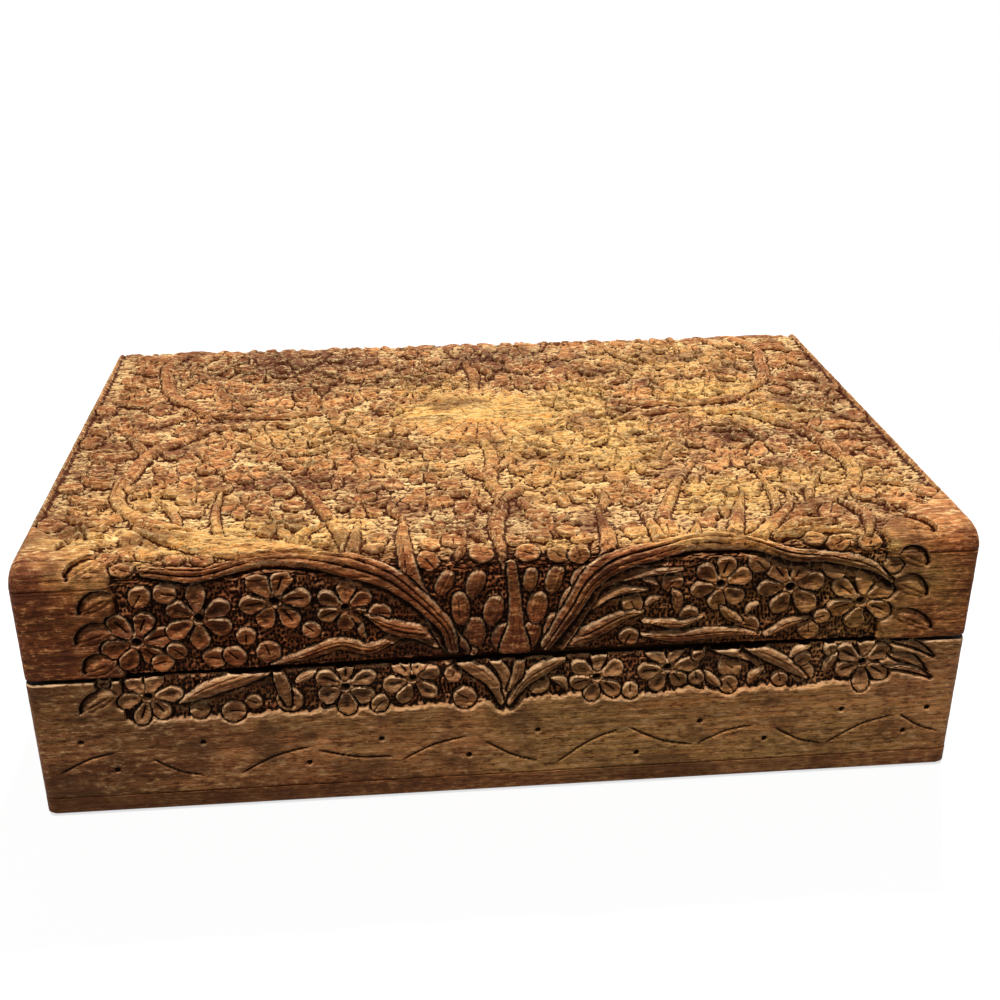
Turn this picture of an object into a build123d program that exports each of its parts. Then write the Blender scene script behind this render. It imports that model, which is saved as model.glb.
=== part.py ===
"""Carved hardwood keepsake box: a nailed base, a glued lid and two brass butt hinges.

Frame, in millimetres: origin at the middle of the underside, +X to the right along the
long side, -Y out of the front, +Z up. The lid is modelled shut.
"""
import os
from math import cos, radians, sin, tan

from build123d import *

# ---- Driving dimensions -------------------------------------------------------------
box_width = 254.0  # along X, over the side boards
box_depth = 175.0  # along Y, over the front and back boards
wall = 10.0  # thickness of the eight upright boards
corner_round = 2.5  # round on the upright corners and on the top board's ends

bottom_thickness = 5.5
bottom_chamfer = 1.2  # worn bevel round the underside
base_wall_height = 36.6  # from the bottom board to the base's rim
parting_gap = 0.8  # air between the two rims when shut
lid_wall_height = 26.8
top_thickness = 6.3
top_round_reach = 8.0  # how far the front and back round-overs run in across the top

stop_angle = 105.0  # opening at which the bevelled back edges meet
pin_inset = 1.0  # pin axis in from the back face

hinge_spread = 150.0  # between the middles of the two hinges
hinge_length = 26.0
leaf_width = 8.0  # from the pin axis to the leaf's inner edge
leaf_thickness = 1.0
leaf_gap = 0.1  # between the two leaves when shut
knuckle_count = 3  # odd, so that the base's leaf has both end knuckles
knuckle_gap = 0.15  # end play between neighbouring knuckles
pin_radius = 1.1
pin_running_clearance = 0.04
barrel_clearance = 0.3  # between the barrel and whatever swings round it
mortise_clearance = 0.1  # round each leaf's outline

screw_spread = 15.0  # between the two screws of a leaf
screw_setback = 5.4  # from the pin axis to the screws
screw_length = 9.0
screw_shank_radius = 1.0
screw_head_radius = 2.0
screw_slot_width = 0.6
screw_slot_depth = 0.4

nail_columns = 2  # along the front and along the back
nail_pitch = 150.0
nail_length = 16.0  # square cut brads without heads
nail_side = 1.5
nail_set = 0.3  # how far the brads are punched in
fastener_clearance = 0.05  # round every screw and nail

carving_depth = 1.8  # from the top's surface down to the carving's ground
carving_margin = 6.5  # plain wood at both ends of the top
carving_lip = 1.0  # plain wood along the front and back round-overs
medallion_setback = 13.0  # behind the top's middle
medallion_radius = 23.0
medallion_hub_radius = 8.0  # where the gouges between the medallion's rays start
medallion_rays = 14
flower_radius = 9.0
flower_petals = 6
bud_radius = 3.6
carved_leaf_width = 5.0
vine_width = 5.0
stem_width = 3.8

# ---- Places that follow from them ---------------------------------------------------
base_rim = bottom_thickness + base_wall_height
lid_rim = base_rim + parting_gap
top_underside = lid_rim + lid_wall_height

half_width = box_width / 2
half_depth = box_depth / 2
long_wall_middle = half_depth - wall / 2
end_wall_middle = half_width - wall / 2

pin_y = half_depth - pin_inset
pin_z = base_rim + parting_gap / 2
knuckle_bore = pin_radius + pin_running_clearance
knuckle_radius = knuckle_bore + leaf_thickness
knuckle_pitch = hinge_length / knuckle_count
swing_radius = knuckle_radius + barrel_clearance
seat_length = hinge_length + 2 * mortise_clearance
seat_depth = leaf_gap / 2 + leaf_thickness  # from the pin axis to a mortise's floor
screw_head_height = screw_head_radius - screw_shank_radius  # a 90 degree countersink
screw_hole_radius = screw_shank_radius + fastener_clearance

BASE, LID = -1, 1  # the side of the parting plane that a piece lies on
FRONT, BACK = -1, 1
LEFT, RIGHT = -1, 1
hinge_places = {"left": LEFT * hinge_spread / 2, "right": RIGHT * hinge_spread / 2}
screw_places = [
    (x + side * screw_spread / 2, pin_y - screw_setback)
    for x in hinge_places.values()
    for side in (LEFT, RIGHT)
]
nail_places = [
    (column, side * long_wall_middle)
    for column in [nail_pitch * (n - (nail_columns - 1) / 2) for n in range(nail_columns)]
    for side in (FRONT, BACK)
] + [(side * end_wall_middle, 0) for side in (LEFT, RIGHT)]

os.makedirs("parts", exist_ok=True)


def save(piece, name):
    """Label a finished piece and write its STEP file."""
    piece.part.label = name
    export_step(piece.part, f"parts/{name}.step")


# ---- Cutters that several boards share ----------------------------------------------
with BuildPart() as nail_holes:
    with BuildSketch():
        with Locations(*nail_places):
            Rectangle(nail_side + 2 * fastener_clearance, nail_side + 2 * fastener_clearance)
    extrude(amount=nail_set + nail_length + fastener_clearance)


def stop_bevel(half):
    """The wedge off a back board's meeting edge that lets the lid lean past upright."""
    reach = 2 * pin_inset
    rise = half * reach * tan(radians(stop_angle / 2))
    with BuildPart() as wedge:
        with BuildSketch(Plane.YZ.offset(-half_width)):
            with BuildLine():
                Polyline(
                    (pin_y, pin_z), (pin_y + reach, pin_z), (pin_y + reach, pin_z + rise), close=True
                )
            make_face()
        extrude(amount=box_width)
    return wedge.part


def hinge_seats():
    """Both hinges' leaf mortises, barrel grooves and screw holes, above and below the pins."""
    with BuildPart() as seats:
        for x in hinge_places.values():
            with BuildSketch(Plane.YZ.offset(x - seat_length / 2)):
                with Locations((pin_y - (leaf_width + mortise_clearance) / 2, pin_z)):
                    Rectangle(leaf_width + mortise_clearance, 2 * seat_depth)
                with Locations((pin_y, pin_z)):
                    Circle(swing_radius)
            extrude(amount=seat_length)
        with BuildSketch(Plane.XY.offset(pin_z)):
            with Locations(*screw_places):
                RegularPolygon(screw_hole_radius, 8, major_radius=False)  # few faces inside the wood
        extrude(amount=leaf_gap / 2 + screw_length + fastener_clearance, both=True)
    return seats.part


# ---- Boards -------------------------------------------------------------------------
def long_board(half, side, low, height):
    """A front or back board, as wide as the box; a back board also takes the hinges."""
    with BuildPart() as board:
        with BuildSketch(Plane.XY.offset(low)):
            with Locations((0, side * long_wall_middle)):
                Rectangle(box_width, wall)
            fillet(vertices().group_by(Axis.Y)[0 if side == FRONT else -1], corner_round)
        extrude(amount=height)
        if side == BACK:
            add(stop_bevel(half), mode=Mode.SUBTRACT)
            add(hinge_seats(), mode=Mode.SUBTRACT)
        if half == BASE:
            add(nail_holes.part, mode=Mode.SUBTRACT)
    return board


def end_board(half, side, low, height):
    """A side board, butted between the front and back boards."""
    with BuildPart() as board:
        with BuildSketch(Plane.XY.offset(low)):
            with Locations((side * end_wall_middle, 0)):
                Rectangle(wall, box_depth - 2 * wall)
        extrude(amount=height)
        if half == BASE:
            add(nail_holes.part, mode=Mode.SUBTRACT)
    return board


for half, half_name, low, height in (
    (BASE, "base", bottom_thickness, base_wall_height),
    (LID, "lid", lid_rim, lid_wall_height),
):
    save(long_board(half, FRONT, low, height), f"{half_name}_front")
    save(long_board(half, BACK, low, height), f"{half_name}_back")
    save(end_board(half, LEFT, low, height), f"{half_name}_left")
    save(end_board(half, RIGHT, low, height), f"{half_name}_right")

with BuildPart() as base_bottom:
    with BuildSketch():
        RectangleRounded(box_width, box_depth, corner_round)
    extrude(amount=bottom_thickness)
    chamfer(faces().sort_by(Axis.Z)[0].edges(), bottom_chamfer)
    add(nail_holes.part, mode=Mode.SUBTRACT)
save(base_bottom, "base_bottom")



# ---- The carving on the lid's top ---------------------------------------------------
def rosette(radius, notch_radius, count, blunt):
    """A flower or a sunburst, with a notch between each two petals. blunt is how much of its
    share of the turn a petal's tip takes."""
    corners = []
    for n in range(count):
        for reach, share in ((radius, -blunt / 2), (radius, blunt / 2), (notch_radius, 0.5)):
            turn = radians(360 / count * (n + share))
            corners.append((reach * cos(turn), reach * sin(turn)))
    return Polygon(*corners, align=None)


def tendril(width, start, *ends):
    """A band that starts with a straight run and goes on in tangent arcs."""
    with BuildSketch() as band:
        with BuildLine():
            run = Line(start, ends[0])
            for end in ends[1:]:
                run = TangentArc(run @ 1, end, tangent=run % 1)
        trace(line_width=width)
    return band.sketch


def leaf(foot, tip, width):
    """A straight-sided leaf, widest half way."""
    foot, tip = Vector(*foot), Vector(*tip)
    middle, side = (foot + tip) / 2, (tip - foot).normalized().rotate(Axis.Z, 90) * width / 2
    return Polygon(foot, middle + side, tip, middle - side, align=None)


# One quarter of what the carver left standing, from the medallion's middle outwards.
flower_places = [(84, 31), (84, 53), (66, 65), (38, 42), (36, 64), (61, 24), (18, 77)]
bud_places = [(70, 45), (20, 50), (43, 27), (96, 9)]
leaf_places = [  # foot and tip
    ((59, 4.5), (37, 17)), ((2, 77), (9, 57)), ((107, 44), (121, 37)), ((108, 57), (122, 53)),
    ((103, 68.5), (121, 68)), ((103, 26), (121, 22)),
]

with BuildSketch() as carving:
    add(tendril(vine_width, (45, 98), (92, 76), (106, 38), (56, 3.8)))
    add(tendril(stem_width, (41, 98), (45, 78), (62, 42)))
    with Locations(*flower_places):
        rosette(flower_radius, 0.55 * flower_radius, flower_petals, 0.66)
    with Locations(*bud_places):
        RegularPolygon(bud_radius, 6)
    for foot, tip in leaf_places:
        leaf(foot, tip, carved_leaf_width)
    mirror(about=Plane.YZ)
    mirror(about=Plane.XZ)
    Rectangle(stem_width, 2 * box_depth)
    rosette(medallion_radius, medallion_hub_radius, medallion_rays, 0.85)

with BuildPart() as lid_top:
    with BuildSketch(Plane.YZ.offset(-half_width)):
        with BuildLine():
            Line((-half_depth, top_underside), (half_depth, top_underside))
            EllipticalCenterArc(
                (half_depth - top_round_reach, top_underside),
                top_round_reach, top_thickness, start_angle=0, arc_size=90,
            )
            Line(
                (half_depth - top_round_reach, top_underside + top_thickness),
                (top_round_reach - half_depth, top_underside + top_thickness),
            )
            EllipticalCenterArc(
                (top_round_reach - half_depth, top_underside),
                top_round_reach, top_thickness, start_angle=90, arc_size=90,
            )
        make_face()
    extrude(amount=box_width)
    ends = faces().filter_by(Axis.X).edges()
    fillet(ends - ends.group_by(Axis.Z)[0], corner_round)
    with BuildSketch(Plane.XY.offset(top_underside + top_thickness)):
        Rectangle(box_width - 2 * carving_margin, box_depth - 2 * (top_round_reach + carving_lip))
        add(carving.sketch.moved(Location((0, medallion_setback))), mode=Mode.SUBTRACT)
    extrude(amount=-carving_depth, mode=Mode.SUBTRACT)
save(lid_top, "lid_top")


# ---- Hinges -------------------------------------------------------------------------
def hinge_leaf(half, x_middle):
    """One leaf: its plate, and every other knuckle of the barrel rolled from it."""
    plate_low = pin_z + (leaf_gap / 2 if half == LID else -seat_depth)
    plate_reach = leaf_width - knuckle_radius - barrel_clearance
    first_knuckle = 1 if half == LID else 0
    with BuildPart() as leaf:
        with BuildSketch(Plane.XY.offset(plate_low)):
            with Locations((x_middle, pin_y - leaf_width + plate_reach / 2)):
                Rectangle(hinge_length, plate_reach)
        extrude(amount=leaf_thickness)
        for n in range(first_knuckle, knuckle_count, 2):
            start = x_middle - hinge_length / 2 + n * knuckle_pitch
            left_play = 0 if n == 0 else knuckle_gap / 2
            right_play = 0 if n == knuckle_count - 1 else knuckle_gap / 2
            with BuildSketch(Plane.YZ.offset(start + left_play)):
                with Locations((pin_y - leaf_width / 2, plate_low + leaf_thickness / 2)):
                    Rectangle(leaf_width, leaf_thickness)
                with Locations((pin_y, pin_z)):
                    Circle(knuckle_radius)
                    Circle(knuckle_bore, mode=Mode.SUBTRACT)
            extrude(amount=knuckle_pitch - left_play - right_play)
        with Locations(
            *[
                Location((x, y, pin_z + half * leaf_gap / 2), (0 if half == BASE else 180, 0, 0))
                for x, y in screw_places
                if abs(x - x_middle) < hinge_length / 2
            ]
        ):
            CounterSinkHole(
                screw_hole_radius,
                screw_head_radius + fastener_clearance,
                depth=2 * leaf_thickness,
                counter_sink_angle=90,
            )
    return leaf


def hinge_pin(x_middle):
    """The pin through the barrel, flush with its ends."""
    with BuildPart() as pin:
        with BuildSketch(Plane.YZ.offset(x_middle)):
            with Locations((pin_y, pin_z)):
                Circle(pin_radius)
        extrude(amount=hinge_length / 2, both=True)
    return pin


for place, x_middle in hinge_places.items():
    save(hinge_leaf(BASE, x_middle), f"hinge_{place}_base_leaf")
    save(hinge_leaf(LID, x_middle), f"hinge_{place}_lid_leaf")
    save(hinge_pin(x_middle), f"hinge_{place}_pin")


# ---- Screws and nails ---------------------------------------------------------------
def hinge_screws(half):
    """The countersunk screws of both leaves on one half, heads flush with the leaf."""
    with BuildPart() as screws:
        with BuildSketch(Plane.XZ) as section:
            with BuildLine():
                Polyline(
                    (0, 0),
                    (screw_head_radius, 0),
                    (screw_shank_radius, -screw_head_height),
                    (screw_shank_radius, -screw_length),
                    (0, -screw_length),
                    close=True,
                )
            make_face()
        with Locations(
            *[
                Location((x, y, pin_z + half * leaf_gap / 2), (0 if half == BASE else 180, 0, 0))
                for x, y in screw_places
            ]
        ):
            add(revolve(section.sketch, axis=Axis.Z, mode=Mode.PRIVATE))
            Box(2 * screw_head_radius, screw_slot_width, 2 * screw_slot_depth, mode=Mode.SUBTRACT)
    return screws


save(hinge_screws(BASE), "hinge_base_screws")
save(hinge_screws(LID), "hinge_lid_screws")

with BuildPart() as bottom_nails:
    with BuildSketch(Plane.XY.offset(nail_set)):
        with Locations(*nail_places):
            Rectangle(nail_side, nail_side)
    extrude(amount=nail_length)
save(bottom_nails, "bottom_nails")
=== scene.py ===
"""The looks of a carved hardwood keepsake box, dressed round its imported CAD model.

Each carved face is a Panel: a height field in millimetres under the uncut surface of its
board. The lid's front, top and back are one sheet, unrolled to (x, s): x runs along the box
and s climbs the front, crosses the top and comes down the back. On a front s is the height z.
"""
from math import cos, hypot, pi, radians, sin

import bpy
import numpy as np
from mathutils import Matrix, Vector


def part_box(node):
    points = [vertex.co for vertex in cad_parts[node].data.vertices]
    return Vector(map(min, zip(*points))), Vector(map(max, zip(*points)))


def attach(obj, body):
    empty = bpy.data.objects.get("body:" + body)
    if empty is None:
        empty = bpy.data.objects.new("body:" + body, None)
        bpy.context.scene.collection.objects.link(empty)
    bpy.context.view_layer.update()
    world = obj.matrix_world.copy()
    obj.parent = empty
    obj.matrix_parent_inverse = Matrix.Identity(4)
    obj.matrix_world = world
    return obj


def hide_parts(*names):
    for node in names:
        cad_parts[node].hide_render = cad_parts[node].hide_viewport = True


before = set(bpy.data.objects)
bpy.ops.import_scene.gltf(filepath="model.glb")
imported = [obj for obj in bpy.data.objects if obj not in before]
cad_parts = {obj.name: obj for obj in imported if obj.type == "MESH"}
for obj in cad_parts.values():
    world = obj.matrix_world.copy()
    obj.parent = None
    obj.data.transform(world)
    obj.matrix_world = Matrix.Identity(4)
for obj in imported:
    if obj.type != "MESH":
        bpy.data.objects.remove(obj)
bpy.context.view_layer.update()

# ---- Sizes, in millimetres ----------------------------------------------------------
MM = 0.001
TOP_REACH = 8.0  # how far the lid's front and back round-overs run in across the top
CORNER = 2.5  # round on the upright corners and on the top's ends
ARRIS, ARRIS_WEAR = 0.45, 0.40  # how far in a worn board edge starts to fall, and by how much
GROUND_DEPTH = 1.75  # of the sunk ground behind the motifs
MOAT_SCALE = 1.05  # the sloping cuts round the motifs are this many times as deep as given


def node_box(name):
    """A CAD node's lowest and highest corner."""
    low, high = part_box(name)
    return np.array(low) / MM, np.array(high) / MM


lid_top_low, lid_top_high = node_box("lid_top")
base_front_low, base_front_high = node_box("base_front")
half_width, half_depth, top_z = lid_top_high
joint_s = lid_top_low[2]  # the joint between the lid's front and its top
top_thickness = top_z - joint_s
lid_rim = node_box("lid_front")[0][2]
base_low, base_rim = base_front_low[2], base_front_high[2]

# ---- Small helpers ------------------------------------------------------------------
NOISE_U, NOISE_V = (-130.0, 130.0), (-2.0, 258.0)  # the region that random fields cover


def smooth(low, high, x):
    """0 below low, 1 above high, and an even bend between them."""
    t = np.clip((x - low) / (high - low), 0, 1)
    return t * t * (3 - 2 * t)


def near(distance, reach):
    """1 up to a distance of 0, falling straight to 0 at reach."""
    return np.clip(1 - distance / reach, 0, 1)


def turned(du, dv, angle):
    """Offsets as they lie along and across a direction."""
    return du * cos(angle) + dv * sin(angle), dv * cos(angle) - du * sin(angle)


def in_pitches(us, vs, pitch_u, pitch_v, spare):
    """us and vs counted in pitches, and the shape of a lattice that covers the region."""
    shape = (int(np.ptp(NOISE_V) / pitch_v) + spare, int(np.ptp(NOISE_U) / pitch_u) + spare)
    return (us - NOISE_U[0]) / pitch_u, (vs - NOISE_V[0]) / pitch_v, shape


def value_noise(us, vs, pitch_u, pitch_v, seed):
    """A smooth random field from -1 to 1 on the grid of us by vs."""
    a, b, shape = in_pitches(us, vs, pitch_u, pitch_v, 3)
    lattice = np.random.default_rng(seed).uniform(-1, 1, shape)
    i, j = a.astype(int), b.astype(int)
    fu, fv = smooth(0, 1, a - i), smooth(0, 1, b - j)[:, None]
    across = lattice[:, i] * (1 - fu) + lattice[:, i + 1] * fu
    return across[j] * (1 - fv) + across[j + 1] * fv


def layered_noise(us, vs, pitch_u, pitch_v, seed, layers=3):
    """Value noise with finer and fainter layers added."""
    total = 0
    for n in range(layers):
        total = total + value_noise(us, vs, pitch_u / 2**n, pitch_v / 2**n, seed + n) / 2**n
    return total / (2 - 0.5 ** (layers - 1))


def scattered(a, b, shift_u, shift_v):
    """For each lattice cell round a grid point: its index, and the offset from its own mark."""
    i, j = a.astype(int)[None, :], b.astype(int)[:, None]
    for dj in (-1, 0, 1):
        for di in (-1, 0, 1):
            cell = (j + dj + 1, i + di + 1)
            yield cell, a[None, :] - (i + di + shift_u[cell]), b[:, None] - (j + dj + shift_v[cell])


def punch_marks(us, vs, pitch_u, pitch_v, seed):
    """Distance to the nearest of many scattered punch marks, in pitches."""
    a, b, shape = in_pitches(us, vs, pitch_u, pitch_v, 5)
    rng = np.random.default_rng(seed)
    shift_u, shift_v = rng.uniform(0.1, 0.9, shape), rng.uniform(0.1, 0.9, shape)
    nearest = np.full((len(vs), len(us)), 9.0)
    for _, du, dv in scattered(a, b, shift_u, shift_v):
        nearest = np.minimum(nearest, du**2 + dv**2)
    return np.sqrt(nearest)


def knife_facets(us, vs, pitch_u, pitch_v, seed):
    """Small flat cuts side by side, each tilted its own way, about -1 to 1."""
    a, b, shape = in_pitches(us, vs, pitch_u, pitch_v, 5)
    rng = np.random.default_rng(seed)
    shift_u, shift_v = rng.uniform(0, 1, shape), rng.uniform(0, 1, shape)
    tilt_u, tilt_v = rng.uniform(-0.8, 0.8, shape), rng.uniform(-0.8, 0.8, shape)
    level = rng.uniform(-0.5, 0.5, shape)
    nearest = np.full((len(vs), len(us)), 9.0)
    facets = np.zeros_like(nearest)
    for cell, du, dv in scattered(a, b, shift_u, shift_v):
        distance = du**2 + dv**2
        closer = distance < nearest
        nearest = np.where(closer, distance, nearest)
        facets = np.where(closer, tilt_u[cell] * du + tilt_v[cell] * dv + level[cell], facets)
    return facets


def blurred(field, cells):
    """A box blur of the given half-width, run twice along each way."""
    for axis in (0, 1, 0, 1):
        pad = [(cells + 1, cells) if n == axis else (0, 0) for n in (0, 1)]
        total = np.cumsum(np.pad(field, pad, mode="edge"), axis=axis)
        size = field.shape[axis]
        high = np.take(total, range(2 * cells + 1, 2 * cells + 1 + size), axis=axis)
        low = np.take(total, range(size), axis=axis)
        field = (high - low) / (2 * cells + 1)
    return field


PATH_STEP = 0.7


def smooth_path(points):
    """A smooth curve through the points, as evenly spaced points and their share of the way."""
    p = np.array(points, float)
    if len(p) == 2:
        count = max(2, int(np.hypot(*(p[1] - p[0])) / PATH_STEP))
        t = np.linspace(0, 1, count + 1)[:, None]
        return p[0] * (1 - t) + p[1] * t, t[:, 0]
    ends = np.vstack([2 * p[0] - p[1], p, 2 * p[-1] - p[-2]])
    curve = [p[:1]]
    for a, b, c, d in zip(ends, ends[1:], ends[2:], ends[3:]):
        t = np.linspace(0, 1, max(3, int(np.hypot(*(c - b)) / PATH_STEP) + 1))[1:, None]
        curve.append(
            0.5 * (2 * b + (c - a) * t + (2 * a - 5 * b + 4 * c - d) * t**2
                   + (3 * b - a - 3 * c + d) * t**3)
        )
    curve = np.vstack(curve)
    length = np.concatenate([[0], np.cumsum(np.hypot(*np.diff(curve, axis=0).T))])
    return curve, length / length[-1]


# ---- The carver's panel -------------------------------------------------------------
FEWEST_POINTS = 20  # a spot with fewer grid points is too small to judge
BARE_SHARE = 0.04  # how much of a bare spot motifs may still cover


class Panel:
    """One carved face: its grid, its height under the uncut surface and what lies where."""

    def __init__(self, us, vs, edge, seed, rough=1.0):
        """edge is how far a motif's edge is spread, and rough scales what the hand left."""
        self.us, self.vs, self.edge, self.rough = us, vs, edge, rough
        self.rng = np.random.default_rng(seed)
        self.height = np.zeros((len(vs), len(us)))
        self.motif = np.ones_like(self.height)
        self.tint, self.rim = np.zeros_like(self.height), np.zeros_like(self.height)
        coarse, fine = layered_noise(us, vs, 3.2, 2.2, 7), value_noise(us, vs, 1.3, 0.9, 8)
        self.waver = (0.18 * coarse + 0.12 * fine) * rough

    def window(self, u_low, u_high, v_low, v_high):
        """The part of the grid inside a rectangle, with its coordinates."""
        i = np.searchsorted(self.us, (u_low, u_high))
        j = np.searchsorted(self.vs, (v_low, v_high))
        return np.s_[j[0]:j[1], i[0]:i[1]], self.us[None, i[0]:i[1]], self.vs[j[0]:j[1], None]

    def around(self, u, v, reach):
        """The window round a point, with the distances from that point."""
        part, us, vs = self.window(u - reach, u + reach, v - reach, v + reach)
        return part, us - u, vs - v

    def press(self, part, inside, surface, moat_depth, moat_width, tint=None):
        """Leave a motif standing: inside is the distance in from its edge, and a sloping
        cut of the moat's depth falls to it all round."""
        height = self.height[part]
        inside = inside + self.waver[part]
        fall = np.clip(1 + inside / moat_width, 0, 1)
        cut = np.where(inside < 0, -moat_depth * MOAT_SCALE * np.sqrt(fall), 0)
        np.minimum(height, cut, out=height)
        cover = np.clip(0.5 + inside / self.edge, 0, 1)
        surface = surface - 0.30 * near(inside, 0.45 * self.rough)
        height += (surface - height) * cover
        np.maximum(self.motif[part], cover, out=self.motif[part])
        # A painted highlight: a thin bright line just inside the motif's edge
        rim = np.exp(-(((inside / self.rough - 0.13) / 0.11) ** 2))
        tint = self.rng.uniform(-1, 1) if tint is None else tint
        for field, value in ((self.rim, rim), (self.tint, tint)):
            field[part] += (value - field[part]) * cover

    def is_free(self, u, v, reach):
        """True where a disc of that reach would lie on bare ground."""
        part, du, dv = self.around(u, v, reach)
        disc = du**2 + dv**2 < reach**2
        if disc.sum() < FEWEST_POINTS or disc.sum() < 0.95 * pi * reach**2 / self.cell_area(part):
            return False
        return self.motif[part][disc].mean() < BARE_SHARE

    def cell_area(self, part):
        """The mean area of one cell in a window."""
        us, vs = self.us[part[1]], self.vs[part[0]]
        return (us[-1] - us[0]) * (vs[-1] - vs[0]) / max(1, (len(us) - 1) * (len(vs) - 1))


def sink_ground(panel, inside, slope, pitch, seed, relief=0.8):
    """Cut the ground of a field: inside is the distance in from the field's edge."""
    us, vs = panel.us, panel.vs
    marks = punch_marks(us, vs, *pitch, seed)
    chatter = layered_noise(us, vs, 2.4, 2.4, seed + 1)
    floor = GROUND_DEPTH + relief * (0.5 - np.clip(marks, 0, 1)) + 0.35 * chatter
    panel.height = np.minimum(panel.height, -floor * smooth(0, slope, inside))
    panel.motif = 1 - smooth(0.2 * slope, 0.8 * slope, inside)


# ---- What the carver cuts -----------------------------------------------------------
# Each motif's moat is the depth and the width of the sloping cut round it.
FLOWER_MOAT, BUD_MOAT, STEM_MOAT, MEDALLION_MOAT = (2.5, 0.6), (2.4, 0.7), (2.4, 0.7), (2.2, 1.0)
DRILL_SHARE, DRILL_DEPTH = 0.135, 2.6  # a flower's hole: radius as a share of the flower's
MIDRIB = 0.55
GOUGE = (0.36, 0.9)  # half width and depth of the long shallow cuts on the plain wood
HATCH = (1.05, 0.8)  # spacing and depth of the short cuts in a hatched band
FAR_OUT = -9.0  # a distance in from an edge that is surely outside


def petal(panel, along, across, radius, petals):
    """One petal: the distance in from its edge, and its hollowed and leaning surface."""
    rng = panel.rng
    length = radius * rng.uniform(0.90, 1.07)
    half = radius * rng.uniform(1.60, 1.88) / petals
    middle = 0.66 * length
    taper = half * np.clip(along / middle, 0.01, 1)
    round_end = np.hypot(np.clip(along - middle, 0, None) / (length - middle), across / half)
    reach = np.where(along > middle, round_end, np.abs(across) / taper)
    inside = np.where(along > 0, (1 - reach) * taper, FAR_OUT)
    share = along / length
    hollow = 0.95 * (1 - np.clip(reach, 0, 1) ** 1.8) * smooth(0.15, 0.45, share)
    groove = rng.choice([0, 0, 0.7]) * near(np.abs(across), 0.36)
    groove = groove * smooth(0.3, 0.4, share) * smooth(0.90, 0.70, share)
    lean = rng.uniform(-0.55, 0.55) * np.clip(across / half, -1, 1) * panel.rough
    lean = lean + rng.uniform(-0.5, 0.4) * (share - 0.6) / 0.4 * panel.rough
    return inside, -0.3 - hollow - groove + lean


def flower(panel, u, v, radius, petals=6, turn=None):
    """A daisy: broad hollowed petals with raised rims, round a large drilled hole."""
    part, du, dv = panel.around(u, v, radius + 2)
    turn = panel.rng.uniform(0, 2 * pi) if turn is None else turn
    inside = 0.26 * radius - np.hypot(du, dv)
    second = np.full(inside.shape, FAR_OUT)
    surface = np.full(inside.shape, -0.55)
    for n in range(petals):
        angle = turn + 2 * pi * (n + panel.rng.uniform(-0.10, 0.10)) / petals
        in_petal, petal_surface = petal(panel, *turned(du, dv, angle), radius, petals)
        nearer = in_petal > inside
        second = np.maximum(second, np.where(nearer, inside, in_petal))
        surface = np.where(nearer, petal_surface, surface)
        inside = np.maximum(inside, in_petal)
    seam = 0.8 * near(inside - second, 0.35) * (second > -0.4)
    panel.press(part, inside, np.minimum(surface, -0.05) - seam, *FLOWER_MOAT)
    drill(panel, u, v, DRILL_SHARE * radius, DRILL_DEPTH)


def drill(panel, u, v, radius, depth):
    """A drilled dot."""
    part, du, dv = panel.around(u, v, radius + 1)
    share = smooth(radius + panel.edge / 2, radius - panel.edge / 2, np.hypot(du, dv))
    panel.height[part] -= depth * share


def bud(panel, u, v, radius):
    """A round bud with a short groove along its middle."""
    rng = panel.rng
    part, du, dv = panel.around(u, v, radius + 1.5)
    along, across = turned(du, dv, rng.uniform(0, 2 * pi))
    reach = np.hypot(along / radius, across / (radius * rng.uniform(0.85, 1)))
    groove = 0.6 * near(np.abs(across), 0.34) * smooth(0.85, 0.45, reach + along / radius)
    lean = rng.uniform(-0.5, 0.5) * across / radius + rng.uniform(-0.4, 0.4) * along / radius
    hollow = 0.45 * (1 - np.clip(reach, 0, 1) ** 2.5)
    surface = -0.40 - groove + lean - hollow
    panel.press(part, (1 - reach) * radius, np.minimum(surface, -0.05), *BUD_MOAT)


def along_path(panel, path, share, half, reach):
    """Fields near a path: the distance in from its edge, the side, from -1 to 1 across it,
    how far along it lies, and how much it lies below the path."""
    low, high = path.min(0) - reach, path.max(0) + reach
    part, us, vs = panel.window(low[0], high[0], low[1], high[1])
    fields = np.zeros((4, vs.size, us.size))
    fields[0] = -99.0
    for a, b, half_a, half_b, t in zip(path, path[1:], half, half[1:], share):
        i = np.searchsorted(us[0], (min(a[0], b[0]) - reach, max(a[0], b[0]) + reach))
        j = np.searchsorted(vs[:, 0], (min(a[1], b[1]) - reach, max(a[1], b[1]) + reach))
        du, dv = us[:, i[0]:i[1]] - a[0], vs[j[0]:j[1]] - a[1]
        if du.size == 0 or dv.size == 0:
            continue
        run = b - a
        length = hypot(*run)
        along = np.clip((du * run[0] + dv * run[1]) / length**2, 0, 1)
        off = np.hypot(du - along * run[0], dv - along * run[1])
        local = half_a + (half_b - half_a) * along
        side = (dv * run[0] - du * run[1]) / length / np.maximum(local, 0.1)
        below = smooth(0.2, -0.6, (dv - along * run[1]) / np.maximum(off, 0.05))
        here = fields[:, j[0]:j[1], i[0]:i[1]]
        closer = local - off > here[0]
        for field, value in zip(here, (local - off, side, t, below)):
            field[:] = np.where(closer, value, field)
    return part, fields


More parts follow.
